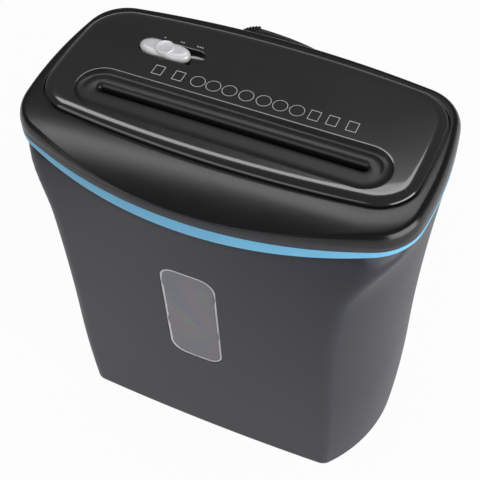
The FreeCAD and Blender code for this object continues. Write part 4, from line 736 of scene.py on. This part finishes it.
def cut_out(piece, cutter_mesh):
    """Cuts a mesh out of a piece and keeps the result."""
    cutter = bpy.data.objects.new("cutter", cutter_mesh)
    bpy.context.scene.collection.objects.link(cutter)
    cut = piece.modifiers.new("cut", "BOOLEAN")
    cut.operation, cut.solver, cut.object = "DIFFERENCE", "EXACT", cutter
    graph = bpy.context.evaluated_depsgraph_get()
    mesh = bpy.data.meshes.new_from_object(piece.evaluated_get(graph))
    piece.modifiers.remove(cut)
    old, piece.data = piece.data, mesh
    bpy.data.objects.remove(cutter)
    bpy.data.meshes.remove(cutter_mesh)
    bpy.data.meshes.remove(old)
    mesh.shade_smooth()
    mesh.set_sharp_from_angle(angle=math.radians(40))


def build_bin():
    """The waste bin with the opening for its window."""
    size, play = bpy.context.scene.shredder_bin, 0.00025
    piece = add_skin("waste_bin", bin_rows(), None, None, "bin_plastic", caps=(True, True))
    cut_out(piece, rounded_block("opening", size.window_width / 2 + play,
                                 size.window_height / 2 + play, size.window_corner + play,
                                 0.0, WINDOW_MIDDLE, -0.12, -0.05))
    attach(piece, "bin")
    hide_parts("bin")


def wall_y(x, z, inset):
    """Place along Y of the front's outer face, set in by a depth."""
    front, bow = front_wall(z)
    return bow - front + inset - math.sqrt(bow ** 2 - x ** 2)


def build_window():
    """The pane in two parts: the clear middle and the pale rim that holds it."""
    size = bpy.context.scene.shredder_bin
    half_x, half_z, corner = size.window_width / 2, size.window_height / 2, size.window_corner
    middle, pane_depth, pane_steps = WINDOW_MIDDLE, 0.0009, 10
    notches, notch_half = (-0.041, -0.017, 0.012, 0.040), 0.0014

    def ring(inward, depth, notched=False):
        spots = rounded_corners(half_x - inward, half_z - inward, corner - inward, 0.0, middle)
        points = []
        for x, z in spots:
            near = min(abs(z - middle - place) for place in notches)
            if notched and near < notch_half and abs(x) > half_x - 0.004:
                x = math.copysign(half_x - inward * 0.3, x)
            points.append(Vector((x, wall_y(x, z, depth), z)))
        return points

    wide = size.window_rim
    steps = [(0.0, 0.0026, False), (0.0, 0.0008, False), (0.0002, 0.0004, False), (0.0005, 0.0002, False),
             (wide - 0.0003, 0.0002, True), (wide - 0.0001, 0.0004, True), (wide, 0.0010, True)]
    add_skin("window_rim", [ring(*step) for step in steps], "bin", "window_clear", "window_rim")
    edge = ring(0.0003, pane_depth)
    rows = []
    for step in range(pane_steps + 1):
        part = step / pane_steps
        keep, shrink = 1 - part, 1 - part * half_x / half_z
        spots = [(p.x * keep, middle + (p.z - middle) * shrink) for p in edge]
        rows.append([Vector((x, wall_y(x, z, pane_depth), z)) for x, z in spots])
    glass = add_skin("window_pane", rows, "bin", "window_clear", merge=0.00002)
    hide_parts("bin_window")


# ---------------------------------------------------------------- head mouldings
def build_trim():
    """The blue crescent between the bin's rim and the band, thin at the ends."""
    proud, deep, gap = 0.0003, 0.0030, 0.0008
    outline = head_outline().offset(proud)
    rows = []
    for inset, lift in ((deep, 0.0), (0.0003, 0.0), (0.0, 0.0003)):
        row = outline.offset(-inset).points(0.0)
        rows.append([Vector((p.x, p.y, rim_height(p.x) + gap + lift)) for p in row])
    for inset, drop in ((0.0, 0.0002), (0.0001, 0.0), (deep, 0.0)):
        row = outline.offset(-inset).points(0.0)
        rows.append([Vector((p.x, p.y, trim_top(p.x) - drop)) for p in row])
    rows.append(rows[0])
    piece = add_skin("trim_crescent", rows, "head", "trim_blue")
    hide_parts("trim_ring")


def trim_top(x):
    """Height of the trim's upper edge, which rises a little to the ends."""
    head = bpy.context.scene.shredder_head
    return head.trim_high + head.trim_rise * (x / head.half) ** 2


def cover_edge(x):
    """Height of the cover's lower edge, which dips to the ends."""
    head = bpy.context.scene.shredder_head
    return head.band_high + head.seam - head.cover_dip * (x / head.half) ** 2


def build_band():
    """The smooth outer face of the band, close over the head's base."""
    head = bpy.context.scene.shredder_head
    outline = head_outline()
    low, high, edge, proud, over = head.band_low, head.band_high, 0.0006, 0.00008, 0.00005
    steps = [(0.003, low - over), (edge, low - over), (0.0002, low + 0.0001),
             (-proud, low + edge), (-proud, (low + high) / 2), (-proud, high - edge),
             (0.0002, high - 0.0001), (edge, high + over), (0.0012, high + over)]
    rows = [outline.offset(-inset).points(height) for inset, height in steps]
    add_skin("head_band", rows, "head", "band_plastic")


def shoulder_height(point, height):
    """Holds a point of the cover under the slope that falls to the front."""
    head = bpy.context.scene.shredder_head
    past_end = max(abs(point.x) - (PANEL_HALF - PANEL_CORNER), 0)
    past_side = max(abs(point.y - PANEL_MIDDLE) - (PANEL_DEPTH - PANEL_CORNER), 0)
    beside = math.hypot(past_end, past_side) - PANEL_CORNER
    back_by = max(beside, 0.0) * (1 - smooth(-0.030, 0.045, point.y))
    bow = head.slope_bow - math.sqrt(head.slope_bow ** 2 - back_by ** 2)
    slope = head.shoulder - head.slope_start * back_by - bow
    gap, soft = slope - height, 0.0012
    if gap > soft:
        return height
    if gap < -soft:
        return slope
    return height - (soft - gap) ** 2 / (4 * soft)


def build_cover():
    """The domed cover: a rolled edge, a flat shoulder that slopes to the front, and the groove."""
    head = bpy.context.scene.shredder_head
    outline, inner = head_outline(), panel_outline()
    bottom = head.band_high + head.seam
    lip, proud, under, roll = 0.0012, 0.0003, 0.0022, head.shoulder_roll
    roll_steps, shoulder_steps = 16, 12
    rise = head.shoulder - bottom - lip
    profile = [(under, bottom), (proud, bottom), (-proud, bottom + 0.0004), (-proud, bottom + lip)]
    for step in range(1, roll_steps + 1):
        angle = math.pi / 2 * step / roll_steps
        profile.append((roll * (1 - math.cos(angle)) - proud * math.cos(angle),
                        bottom + lip + rise * math.sin(angle)))
    rows = []
    for inset, height in profile:
        row = outline.offset(-inset).points(height)
        above = (height - bottom) / (head.shoulder - bottom)
        heights = [height - (bottom - cover_edge(p.x)) * (1 - above) for p in row]
        rows.append([Vector((p.x, p.y, shoulder_height(p, z))) for p, z in zip(row, heights)])
    edge = inner.offset(head.groove + 0.0006).points(head.shoulder)
    last = outline.offset(-roll).points(head.shoulder)
    for step in range(1, shoulder_steps + 1):
        row = [a.lerp(b, step / shoulder_steps) for a, b in zip(last, edge)]
        rows.append([Vector((p.x, p.y, shoulder_height(p, head.shoulder))) for p in row])
    for out, drop in ((0.0002, 0.00015), (0.0, 0.0006), (0.0, head.shoulder - head.panel_seat)):
        row = inner.offset(head.groove + out).points(head.shoulder)
        rows.append([Vector((p.x, p.y, shoulder_height(p, head.shoulder) - drop)) for p in row])
    ledge = inner.offset(-0.004)
    rows += [ledge.points(head.panel_seat), ledge.points(head.panel_seat - 0.0018)]
    piece = add_skin("top_cover_shell", rows, "head", "cover_black")
    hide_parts("top_cover")


WELL_X, KNOB_X, SWITCH_Y = -0.0725, -0.079, 0.042
TRAY_X, TRAY_Y = 0.002, -0.0155
# Height of the tray from the panel's top at each distance in from its edge, behind and in front
REAR_PROFILE = [(0.0, 0.0), (0.0006, -0.0004), (0.0012, -0.0001), (0.0018, -0.0005), (0.0032, -0.0013),
                (0.0052, -0.0019), (0.0068, -0.0016), (0.0088, -0.0008), (0.0112, -0.0005),
                (0.0142, -0.0007), (0.0160, -0.0013), (0.0174, -0.0027), (0.0181, -0.0046)]
FRONT_PROFILE = [(0.0, 0.0), (0.0006, -0.0005), (0.0012, -0.0001), (0.0018, -0.0005), (0.0032, -0.0009),
                 (0.0060, -0.0011), (0.0120, -0.0012), (0.0150, -0.0013), (0.0168, -0.0017),
                 (0.0177, -0.0026), (0.0181, -0.0040)]
TRAY_STEPS = (0.0, 0.0003, 0.0006, 0.0009, 0.0012, 0.0015, 0.0018, 0.0024, 0.003, 0.0038, 0.0048,
              0.0060, 0.0072, 0.0085, 0.0098, 0.0110, 0.0122, 0.0134, 0.0145, 0.0154, 0.0162,
              0.0169, 0.0174, 0.0178, 0.0181)


def tray_ring(inward):
    """One ring of the tray, its rear side sunk and crowned and its front side a flat land."""
    head, entry = sizes()
    half, radius = entry.tray_half - inward, entry.tray_width / 2 - inward
    ring = stadium(half, radius, TRAY_X, TRAY_Y, head.panel_top)
    rear, front = along_table(REAR_PROFILE, inward), along_table(FRONT_PROFILE, inward)
    for point in ring:
        beyond = max(abs(point.x - TRAY_X) - (half - radius), 0.0)
        turn = math.atan2(point.y - TRAY_Y, beyond)
        share_of_rear = smooth(-1.0, 1.0, math.sin(turn))
        point.z += front + (rear - front) * share_of_rear
    return ring


def fill_between(form, outer, holes):
    """Fills a level face between an outer ring of vertices and the rings of its holes."""
    edges = []
    for ring in [outer] + holes:
        for first, second in zip(ring, ring[1:] + ring[:1]):
            edges.append(form.edges.get((first, second)) or form.edges.new((first, second)))
    bmesh.ops.triangle_fill(form, use_beauty=True, use_dissolve=False, edges=edges)


def build_panel():
    """The gloss panel with its rolled edge, the openings for tray and switch, and the well."""
    head, entry = sizes()
    outline = panel_outline()
    top, roll, drop_by = head.panel_top, head.panel_roll, head.panel_drop
    form = bmesh.new()
    rows = [outline.offset(-0.0025).points(head.panel_seat), outline.points(head.panel_seat),
            outline.points(top - drop_by - 0.0004)]
    roll_steps = 18
    for step in range(roll_steps + 1):
        angle = math.pi / 2 * step / roll_steps
        height = top - drop_by * (1 - math.sin(angle))
        rows.append(outline.offset(-roll * (1 - math.cos(angle))).points(height))
    rows.append(outline.offset(-roll - 0.0012).points(top))
    outer = add_rows(form, rows)[-1]
    half, radius = entry.tray_half, entry.tray_width / 2
    hole_rows = [stadium(half + out, radius + out, TRAY_X, TRAY_Y, top - drop)
                 for out, drop in ((0.0016, 0.0), (0.0004, 0.0), (0.0001, 0.0001), (0.0, 0.0012))]
    tray_hole = add_rows(form, hole_rows)[0]
    well_half, well_radius, well_deep = 0.0285, 0.0091, 0.0052
    well_rows = [stadium(well_half + out, well_radius + out, WELL_X, SWITCH_Y, top - drop)
                 for out, drop in ((0.0012, 0.0), (0.0004, 0.0), (0.0001, 0.0001), (0.0, 0.0005),
                                   (0.0, well_deep - 0.0002), (-0.0003, well_deep))]
    well_hole = add_rows(form, well_rows, caps=(False, True))[0]
    fill_between(form, outer, [tray_hole, well_hole])
    mesh = finish_mesh("top_panel_shell", form, 50.0)
    piece = add_object("top_panel_shell", mesh, "head", "panel_gloss")
    tray_rows = [tray_ring(inward) for inward in TRAY_STEPS]
    sunk = 0.005
    depth = top - entry.slot_low - sunk
    for low in (0.25, 0.6, 1.0):
        tray_rows.append(stadium(half - TRAY_STEPS[-1], radius - TRAY_STEPS[-1], TRAY_X, TRAY_Y,
                                 top - sunk - depth * low))
    add_skin("paper_tray", tray_rows, "head", "panel_gloss", "tray_satin", crease=60.0)
    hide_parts("top_panel")


def build_switch():
    """The silver knob with two lobes and a round button between them."""
    entry = bpy.context.scene.shredder_entry
    x, y, low = KNOB_X, SWITCH_Y, 0.33
    half, wide = entry.knob_length / 2, entry.knob_width / 2
    end_power, side_power, pinch, pinch_half, sides = 0.72, 0.86, 0.16, 0.0055, 120

    def ring(inward, height):
        points = []
        for step in range(sides):
            angle = 2 * math.pi * step / sides
            c, s = math.cos(angle), math.sin(angle)
            along = half * math.copysign(abs(c) ** end_power, c)
            waist = 1 - pinch * math.exp(-(along / pinch_half) ** 2)
            across = wide * math.copysign(abs(s) ** side_power, s) * waist
            span = math.hypot(along, across)
            pull = max(span - inward, 0.0) / span
            points.append(Vector((x + along * pull, y + across * pull, height)))
        return points

    profile = [(0.0004, 0.0), (0.0, 0.0004), (0.0, 0.0034), (0.0004, 0.0046), (0.0012, 0.0055),
               (0.0024, 0.0061), (0.004, 0.00635), (0.006, 0.0064), (0.0075, 0.0064)]
    rows = [ring(inward, low + height) for inward, height in profile]
    knob = add_skin("knob_shell", rows, "switch", "switch_silver", caps=(True, True), crease=70.0)
    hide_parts("switch_knob")
    button_profile = [(0.0078, 0.0050), (0.0078, 0.0066), (0.0076, 0.0070), (0.0072, 0.0072),
                      (0.0066, 0.0071), (0.005, 0.00690), (0.003, 0.00675), (0.0012, 0.0067),
                      (0.0002, 0.0067)]
    rows = [circle(Vector((x, y, low + height)), ACROSS, AWAY, radius, 72)
            for radius, height in button_profile]
    add_skin("knob_button", rows, "switch", "switch_silver", caps=(True, True), crease=60.0)


def flat_ring(form, x, y, z, outer, inner, sides=40):
    """A thin printed ring, as flat faces just over the panel."""
    middle = Vector((x, y, z))
    add_rows(form, [circle(middle, ACROSS, AWAY, radius, sides) for radius in (outer, inner)])


def flat_frame(form, x, y, z, half_x, half_y, line):
    """A thin printed outline of a sheet, as flat faces just over the panel."""
    middle = Vector((x, y, z))
    outer = [middle + Vector((side * half_x, end * half_y, 0))
             for side, end in ((-1, -1), (1, -1), (1, 1), (-1, 1))]
    inward = 1.6 * line / math.hypot(half_x, half_y)
    add_rows(form, (outer, [corner.lerp(middle, inward) for corner in outer]))


def build_marks():
    """Plain printed marks: a row of rings and blank sheets, and dots that number the switch."""
    head, entry = sizes()
    z = head.panel_top + 0.00004
    form = bmesh.new()
    size, line, row = entry.mark, 0.0005, 0.0185
    dot_row, dot_step, dot = 0.0555, 0.0021, 0.0007
    for x in (-0.0387, -0.0256, -0.0121, 0.0019, 0.0162, 0.0297, 0.0433):
        flat_ring(form, x, row, z, size / 2, size / 2 - line)
    for x in (-0.0727, -0.0552, 0.0572, 0.0716, 0.0872):
        flat_frame(form, x, row, z, size * 0.35, size * 0.44, line)
    for x, count in ((-0.0855, 1), (-0.070, 2), (-0.0545, 3)):
        for index in range(count):
            flat_ring(form, x + (index - (count - 1) / 2) * dot_step, dot_row, z, dot, 0.0001, 16)
    mesh = finish_mesh("printed_marks", form)
    add_object("printed_marks", mesh, "head", "white_plastic", "print_white")


# ---------------------------------------------------------------- lead, relief and plug
RELIEF_START, RELIEF_RUN = Vector((-0.038, 0.0986, 0.3155)), 0.0056
RELIEF_BEND, RELIEF_TURN = 0.014, math.radians(76)
RELIEF_MIDDLE = RELIEF_START + ACROSS * RELIEF_BEND
COIL_MIDDLE = Vector((0.006, 0.172))


def round_bend(angle):
    """Place and heading at an angle of the relief's bend."""
    spot = RELIEF_MIDDLE + AWAY * (RELIEF_BEND * math.sin(angle)) - ACROSS * (RELIEF_BEND * math.cos(angle))
    return spot, Vector((math.sin(angle), math.cos(angle), 0))


def relief_path():
    """Places and headings along the strain relief: out of the back, then round toward the side."""
    steps, total = 140, RELIEF_RUN + RELIEF_BEND * RELIEF_TURN
    spots = []
    for step in range(steps + 1):
        way = total * step / steps
        if way < RELIEF_RUN:
            spots.append((RELIEF_START + AWAY * (way - RELIEF_RUN), AWAY, way))
        else:
            spots.append((*round_bend((way - RELIEF_RUN) / RELIEF_BEND), way))
    return spots, total


def circle_at(spot, heading, radius):
    """Points of a circle square to a heading that lies level."""
    side = Vector((heading.y, -heading.x, 0)).normalized()
    return circle(spot, side, side.cross(heading).normalized(), radius, 28)


def build_relief():
    """The strain relief: a plain root, then ribs that grow smaller along the bend."""
    lead = bpy.context.scene.shredder_lead
    spots, total = relief_path()
    ribs_from, root, bore = RELIEF_RUN - 0.0012, 0.0042, 0.0033
    rows = []
    for spot, heading, way in spots:
        along = max(way - ribs_from, 0.0) / (total - ribs_from)
        rib = 0.5 - 0.5 * math.cos(2 * math.pi * min(along, 1.0) * lead.ribs)
        crest = 0.0054 - 0.0008 * along
        valley = 0.0041 - 0.0003 * along
        radius = root if way < ribs_from else valley + (crest - valley) * rib ** 0.55
        rows.append(circle_at(spot, heading, radius))
    rows.append(circle_at(spots[-1][0], spots[-1][1], bore))
    piece = add_skin("ribbed_relief", rows, "head", "cord_rubber", caps=(True, True), crease=70.0)
    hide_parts("strain_relief")


def coil_points():
    """Points of the coil: three turns down its inside, then up its outside, to the plug's side."""
    lead = bpy.context.scene.shredder_lead
    start, end, inner_turns = math.radians(-16), math.radians(90 + 360 * 5), 3.0
    pitch = lead.thick * 1.01
    count = round((end - start) / math.radians(22.5))
    step = (end - start) / count
    points = []
    for index in range(1, count + 1):
        turned = (step * index) / (2 * math.pi)
        outside = turned - inner_turns
        if outside < 0:
            level = 2 - sum(smooth(k - 0.15, k + 0.15, turned) for k in (1, 2))
            radius = lead.inner
        else:
            level = sum(smooth(k - 0.02, k + 0.22, outside) for k in (1, 2))
            radius = lead.inner + (lead.outer - lead.inner) * smooth(0, 0.16, outside)
        angle = start + step * index
        reach = radius / math.cos(step / 2) ** 0.5
        points.append(Vector((COIL_MIDDLE.x + reach * math.cos(angle),
                              COIL_MIDDLE.y + reach * math.sin(angle),
                              lead.thick / 2 + pitch * level)))
    return points


def lead_route():
    """Points of the lead from the relief down behind the bin to its coil and plug."""
    end, out = round_bend(RELIEF_TURN)
    exit_spot = end - out * 0.003
    down = [(0.010, 0.114, 0.3125), (0.058, 0.112, 0.2935), (0.076, 0.112, 0.214),
            (0.076, 0.114, 0.146), (0.069, 0.121, 0.088), (0.053, 0.136, 0.044),
            (0.034, 0.164, 0.017)]
    tail = [(-0.012, 0.2088, 0.0135), (-0.026, 0.2088, 0.0085), (-0.036, 0.2088, 0.00685),
            (-0.0425, 0.2088, 0.00685)]
    return [exit_spot] + [Vector(p) for p in down] + coil_points() + [Vector(p) for p in tail]


def smooth_line(name, points):
    """The smooth line that a route's points guide, as a list of places."""
    curve = bpy.data.curves.new(name, "CURVE")
    curve.dimensions = "3D"
    curve.resolution_u = 8
    spline = curve.splines.new("NURBS")
    spline.points.add(len(points) - 1)
    for target, point in zip(spline.points, points):
        target.co = (*point, 1.0)
    spline.order_u = 3
    spline.use_endpoint_u = True
    carrier = bpy.data.objects.new(name, curve)
    bpy.context.scene.collection.objects.link(carrier)
    graph = bpy.context.evaluated_depsgraph_get()
    mesh = bpy.data.meshes.new_from_object(carrier.evaluated_get(graph))
    path = [vertex.co.copy() for vertex in mesh.vertices]
    bpy.data.objects.remove(carrier)
    bpy.data.curves.remove(curve)
    bpy.data.meshes.remove(mesh)
    return path


def tube_rows(path, radius):
    """Rings of a round tube whose section turns as little as it can along the path."""
    heading = (path[1] - path[0]).normalized()
    side = heading.orthogonal().normalized()
    rows = []
    for index, spot in enumerate(path):
        before, after = path[max(index - 1, 0)], path[min(index + 1, len(path) - 1)]
        heading = (after - before).normalized()
        side = (side - heading * side.dot(heading)).normalized()
        rows.append(circle(spot, side, heading.cross(side), radius, 14))
    return rows


def build_lead():
    """The supply lead as one cord from the relief to the plug."""
    lead = bpy.context.scene.shredder_lead
    path = smooth_line("lead_line", lead_route())
    rows = tube_rows(path, lead.thick / 2)
    piece = add_skin("supply_lead", rows, None, None, "cord_rubber", caps=(True, True))
    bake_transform(piece)
    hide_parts("lead", "lead_coil", "lead_tail")


# ---------------------------------------------------------------- finishes of the frame's own parts
def build_finishes():
    """Gives every part of the frame the finish that its slot names."""
    for part in frame["record"]["subparts"]:
        item = frame["nodes"].get(part["node"])
        if item is None:
            continue
        item.data.materials.clear()
        item.data.materials.append(finish(part["material_slot"]))
        item.data.shade_smooth()
        item.data.set_sharp_from_angle(angle=math.radians(32))


# ---------------------------------------------------------------- stage
def seen_directly(tree, mirrored):
    """1 where a camera ray or a clear ray arrives, and a share of it where a mirror ray does."""
    path = add_node(tree, "ShaderNodeLightPath")
    glossy = arithmetic(tree, "MULTIPLY", path.outputs["Is Glossy Ray"], mirrored)
    direct = arithmetic(tree, "MAXIMUM", path.outputs["Is Camera Ray"], path.outputs["Is Transmission Ray"])
    return arithmetic(tree, "MAXIMUM", direct, glossy)


def mix_shaders(tree, share_of_second, first, second, output):
    """Joins two shaders by a share and leads them to an output node."""
    mix = add_node(tree, "ShaderNodeMixShader")
    tree.links.new(share_of_second, mix.inputs[0])
    tree.links.new(first.outputs[0], mix.inputs[1])
    tree.links.new(second.outputs[0], mix.inputs[2])
    tree.links.new(mix.outputs[0], tree.nodes[output].inputs["Surface"])


def build_floor(white):
    """A wide pale floor that looks white to the camera and dimmer in reflections."""
    form = bmesh.new()
    bmesh.ops.create_grid(form, x_segments=8, y_segments=8, size=4.0)
    floor = bpy.data.objects.new("floor", finish_mesh("floor", form))
    bpy.context.scene.collection.objects.link(floor)
    material = bpy.data.materials.new("floor_pale")
    material.use_nodes = True
    tree = material.node_tree
    shader = tree.nodes["Principled BSDF"]
    shader.inputs["Roughness"].default_value = 0.9
    shader.inputs["Specular IOR Level"].default_value = 0.1
    cloud = noise(tree, object_place(tree), 3.0)
    tree.links.new(blended(tree, cloud, (white,) * 3, (white * 0.98,) * 3), shader.inputs["Base Color"])
    glow = add_node(tree, "ShaderNodeEmission")
    glow.inputs["Strength"].default_value = 1.0
    mirrored, glowing = 0.46, 0.96
    seen = arithmetic(tree, "MULTIPLY", seen_directly(tree, mirrored), glowing)
    mix_shaders(tree, seen, shader, glow, "Material Output")
    floor.data.materials.append(material)


def build_world(sky):
    """A surround that the camera sees in full white, but that lights the object far less."""
    world = bpy.data.worlds.new("studio")
    bpy.context.scene.world = world
    world.use_nodes = True
    tree = world.node_tree
    plain = tree.nodes["Background"]
    bright = add_node(tree, "ShaderNodeBackground")
    for background, strength in ((plain, sky), (bright, 1.0)):
        background.inputs["Strength"].default_value = strength
        background.inputs["Color"].default_value = (1.0, 1.0, 1.0, 1.0)
    mix_shaders(tree, seen_directly(tree, 0.0), plain, bright, "World Output")


def build_lamps(setting):
    """Three large lamps: in front on the left, overhead at the back, and at the right side."""
    # name, place, target, width, height, power
    lamps = (("key_lamp", (-0.9, -1.6, 1.55), (0.0, 0.0, 0.18), 2.4, 1.6, setting.key),
             ("over_lamp", (-0.70, 0.97, 2.12), (-0.10, 0.0, 0.32), 2.0, 0.46, setting.over),
             ("side_lamp", (1.80, -0.30, 0.60), (0.10, 0.0, 0.16), 1.8, 1.4, setting.side))
    for name, spot, target, wide, tall, power in lamps:
        data = bpy.data.lights.new(name, "AREA")
        data.shape, data.size, data.size_y, data.energy = "RECTANGLE", wide, tall, power
        lamp = bpy.data.objects.new(name, data)
        lamp.location = spot
        lamp.rotation_euler = (Vector(target) - Vector(spot)).to_track_quat("-Z", "Y").to_euler()
        bpy.context.scene.collection.objects.link(lamp)


def build_camera():
    """A camera high in front on the right, rolled a little about its own axis."""
    scene = bpy.context.scene
    data = bpy.data.cameras.new("view")
    data.lens, data.sensor_width = 77.20, 36.0
    camera = bpy.data.objects.new("view", data)
    camera.location = (0.2461, -0.5070, 0.8639)
    gaze = Vector((-0.0012, 0.006, 0.1749)) - camera.location
    roll = Quaternion((0.0, 0.0, 1.0), math.radians(-1.82))
    camera.rotation_euler = (gaze.to_track_quat("-Z", "Y") @ roll).to_euler()
    scene.collection.objects.link(camera)
    scene.camera = camera
    scene.view_settings.view_transform = "Standard"


def build_stage():
    """The floor, the surround, the lamps and the camera."""
    setting = bpy.context.scene.shredder_stage
    build_floor(setting.floor)
    build_world(setting.sky)
    build_lamps(setting)
    build_camera()


# ---------------------------------------------------------------- operators and panel
class SHREDDER_OT_stage(bpy.types.Operator):
    """Make the floor, the lamps and the camera"""
    bl_idname = "shredder.stage"
    bl_label = "Stage"

    def execute(self, context):
        build_stage()
        return {"FINISHED"}


class SHREDDER_OT_finishes(bpy.types.Operator):
    """Give the frame's own parts their finishes"""
    bl_idname = "shredder.finishes"
    bl_label = "Finishes"

    def execute(self, context):
        build_finishes()
        return {"FINISHED"}


class SHREDDER_OT_bin(bpy.types.Operator):
    """Make the waste bin"""
    bl_idname = "shredder.bin"
    bl_label = "Waste bin"

    def execute(self, context):
        build_bin()
        return {"FINISHED"}


class SHREDDER_OT_window(bpy.types.Operator):
    """Make the window of the bin"""
    bl_idname = "shredder.window"
    bl_label = "Window"

    def execute(self, context):
        build_window()
        return {"FINISHED"}


class SHREDDER_OT_trim(bpy.types.Operator):
    """Make the blue trim and the band over it"""
    bl_idname = "shredder.trim"
    bl_label = "Trim and band"

    def execute(self, context):
        build_trim()
        build_band()
        return {"FINISHED"}


class SHREDDER_OT_cover(bpy.types.Operator):
    """Make the domed cover"""
    bl_idname = "shredder.cover"
    bl_label = "Cover"

    def execute(self, context):
        build_cover()
        return {"FINISHED"}


class SHREDDER_OT_panel(bpy.types.Operator):
    """Make the gloss panel, the paper tray and the printed marks"""
    bl_idname = "shredder.panel"
    bl_label = "Panel and tray"

    def execute(self, context):
        build_panel()
        build_marks()
        return {"FINISHED"}


class SHREDDER_OT_switch(bpy.types.Operator):
    """Make the silver switch"""
    bl_idname = "shredder.switch"
    bl_label = "Switch"

    def execute(self, context):
        build_switch()
        return {"FINISHED"}


class SHREDDER_OT_lead(bpy.types.Operator):
    """Make the strain relief and the supply lead"""
    bl_idname = "shredder.lead"
    bl_label = "Lead"

    def execute(self, context):
        build_relief()
        build_lead()
        return {"FINISHED"}


STEPS = ("stage", "lead", "finishes", "bin", "window", "trim", "cover", "panel", "switch")


class SHREDDER_PT_sidebar(bpy.types.Panel):
    bl_idname = "SHREDDER_PT_sidebar"
    bl_label = "Paper shredder"
    bl_space_type = "VIEW_3D"
    bl_region_type = "UI"
    bl_category = "Shredder"

    def draw(self, context):
        layout = self.layout
        for step in STEPS:
            layout.operator("shredder." + step)
        for group in GROUPS:
            box = layout.box()
            settings = getattr(context.scene, group)
            for name in settings.bl_rna.properties.keys():
                if name not in ("rna_type", "name"):
                    box.prop(settings, name)


GROUPS = {"shredder_head": HeadSizes, "shredder_entry": EntrySizes, "shredder_bin": BinSizes,
          "shredder_lead": LeadSizes, "shredder_colours": Colours, "shredder_stage": StageSettings}
CLASSES = tuple(GROUPS.values()) + (
    SHREDDER_OT_stage, SHREDDER_OT_lead, SHREDDER_OT_finishes, SHREDDER_OT_bin, SHREDDER_OT_window,
    SHREDDER_OT_trim, SHREDDER_OT_cover, SHREDDER_OT_panel, SHREDDER_OT_switch, SHREDDER_PT_sidebar)


def register():
    for item in CLASSES:
        bpy.utils.register_class(item)
    for name, group in GROUPS.items():
        setattr(bpy.types.Scene, name, bpy.props.PointerProperty(type=group))


def unregister():
    for name in GROUPS:
        delattr(bpy.types.Scene, name)
    for item in reversed(CLASSES):
        bpy.utils.unregister_class(item)


def main():
    register()
    for step in STEPS:
        getattr(bpy.ops.shredder, step)()


if __name__ == "__main__":
    main()
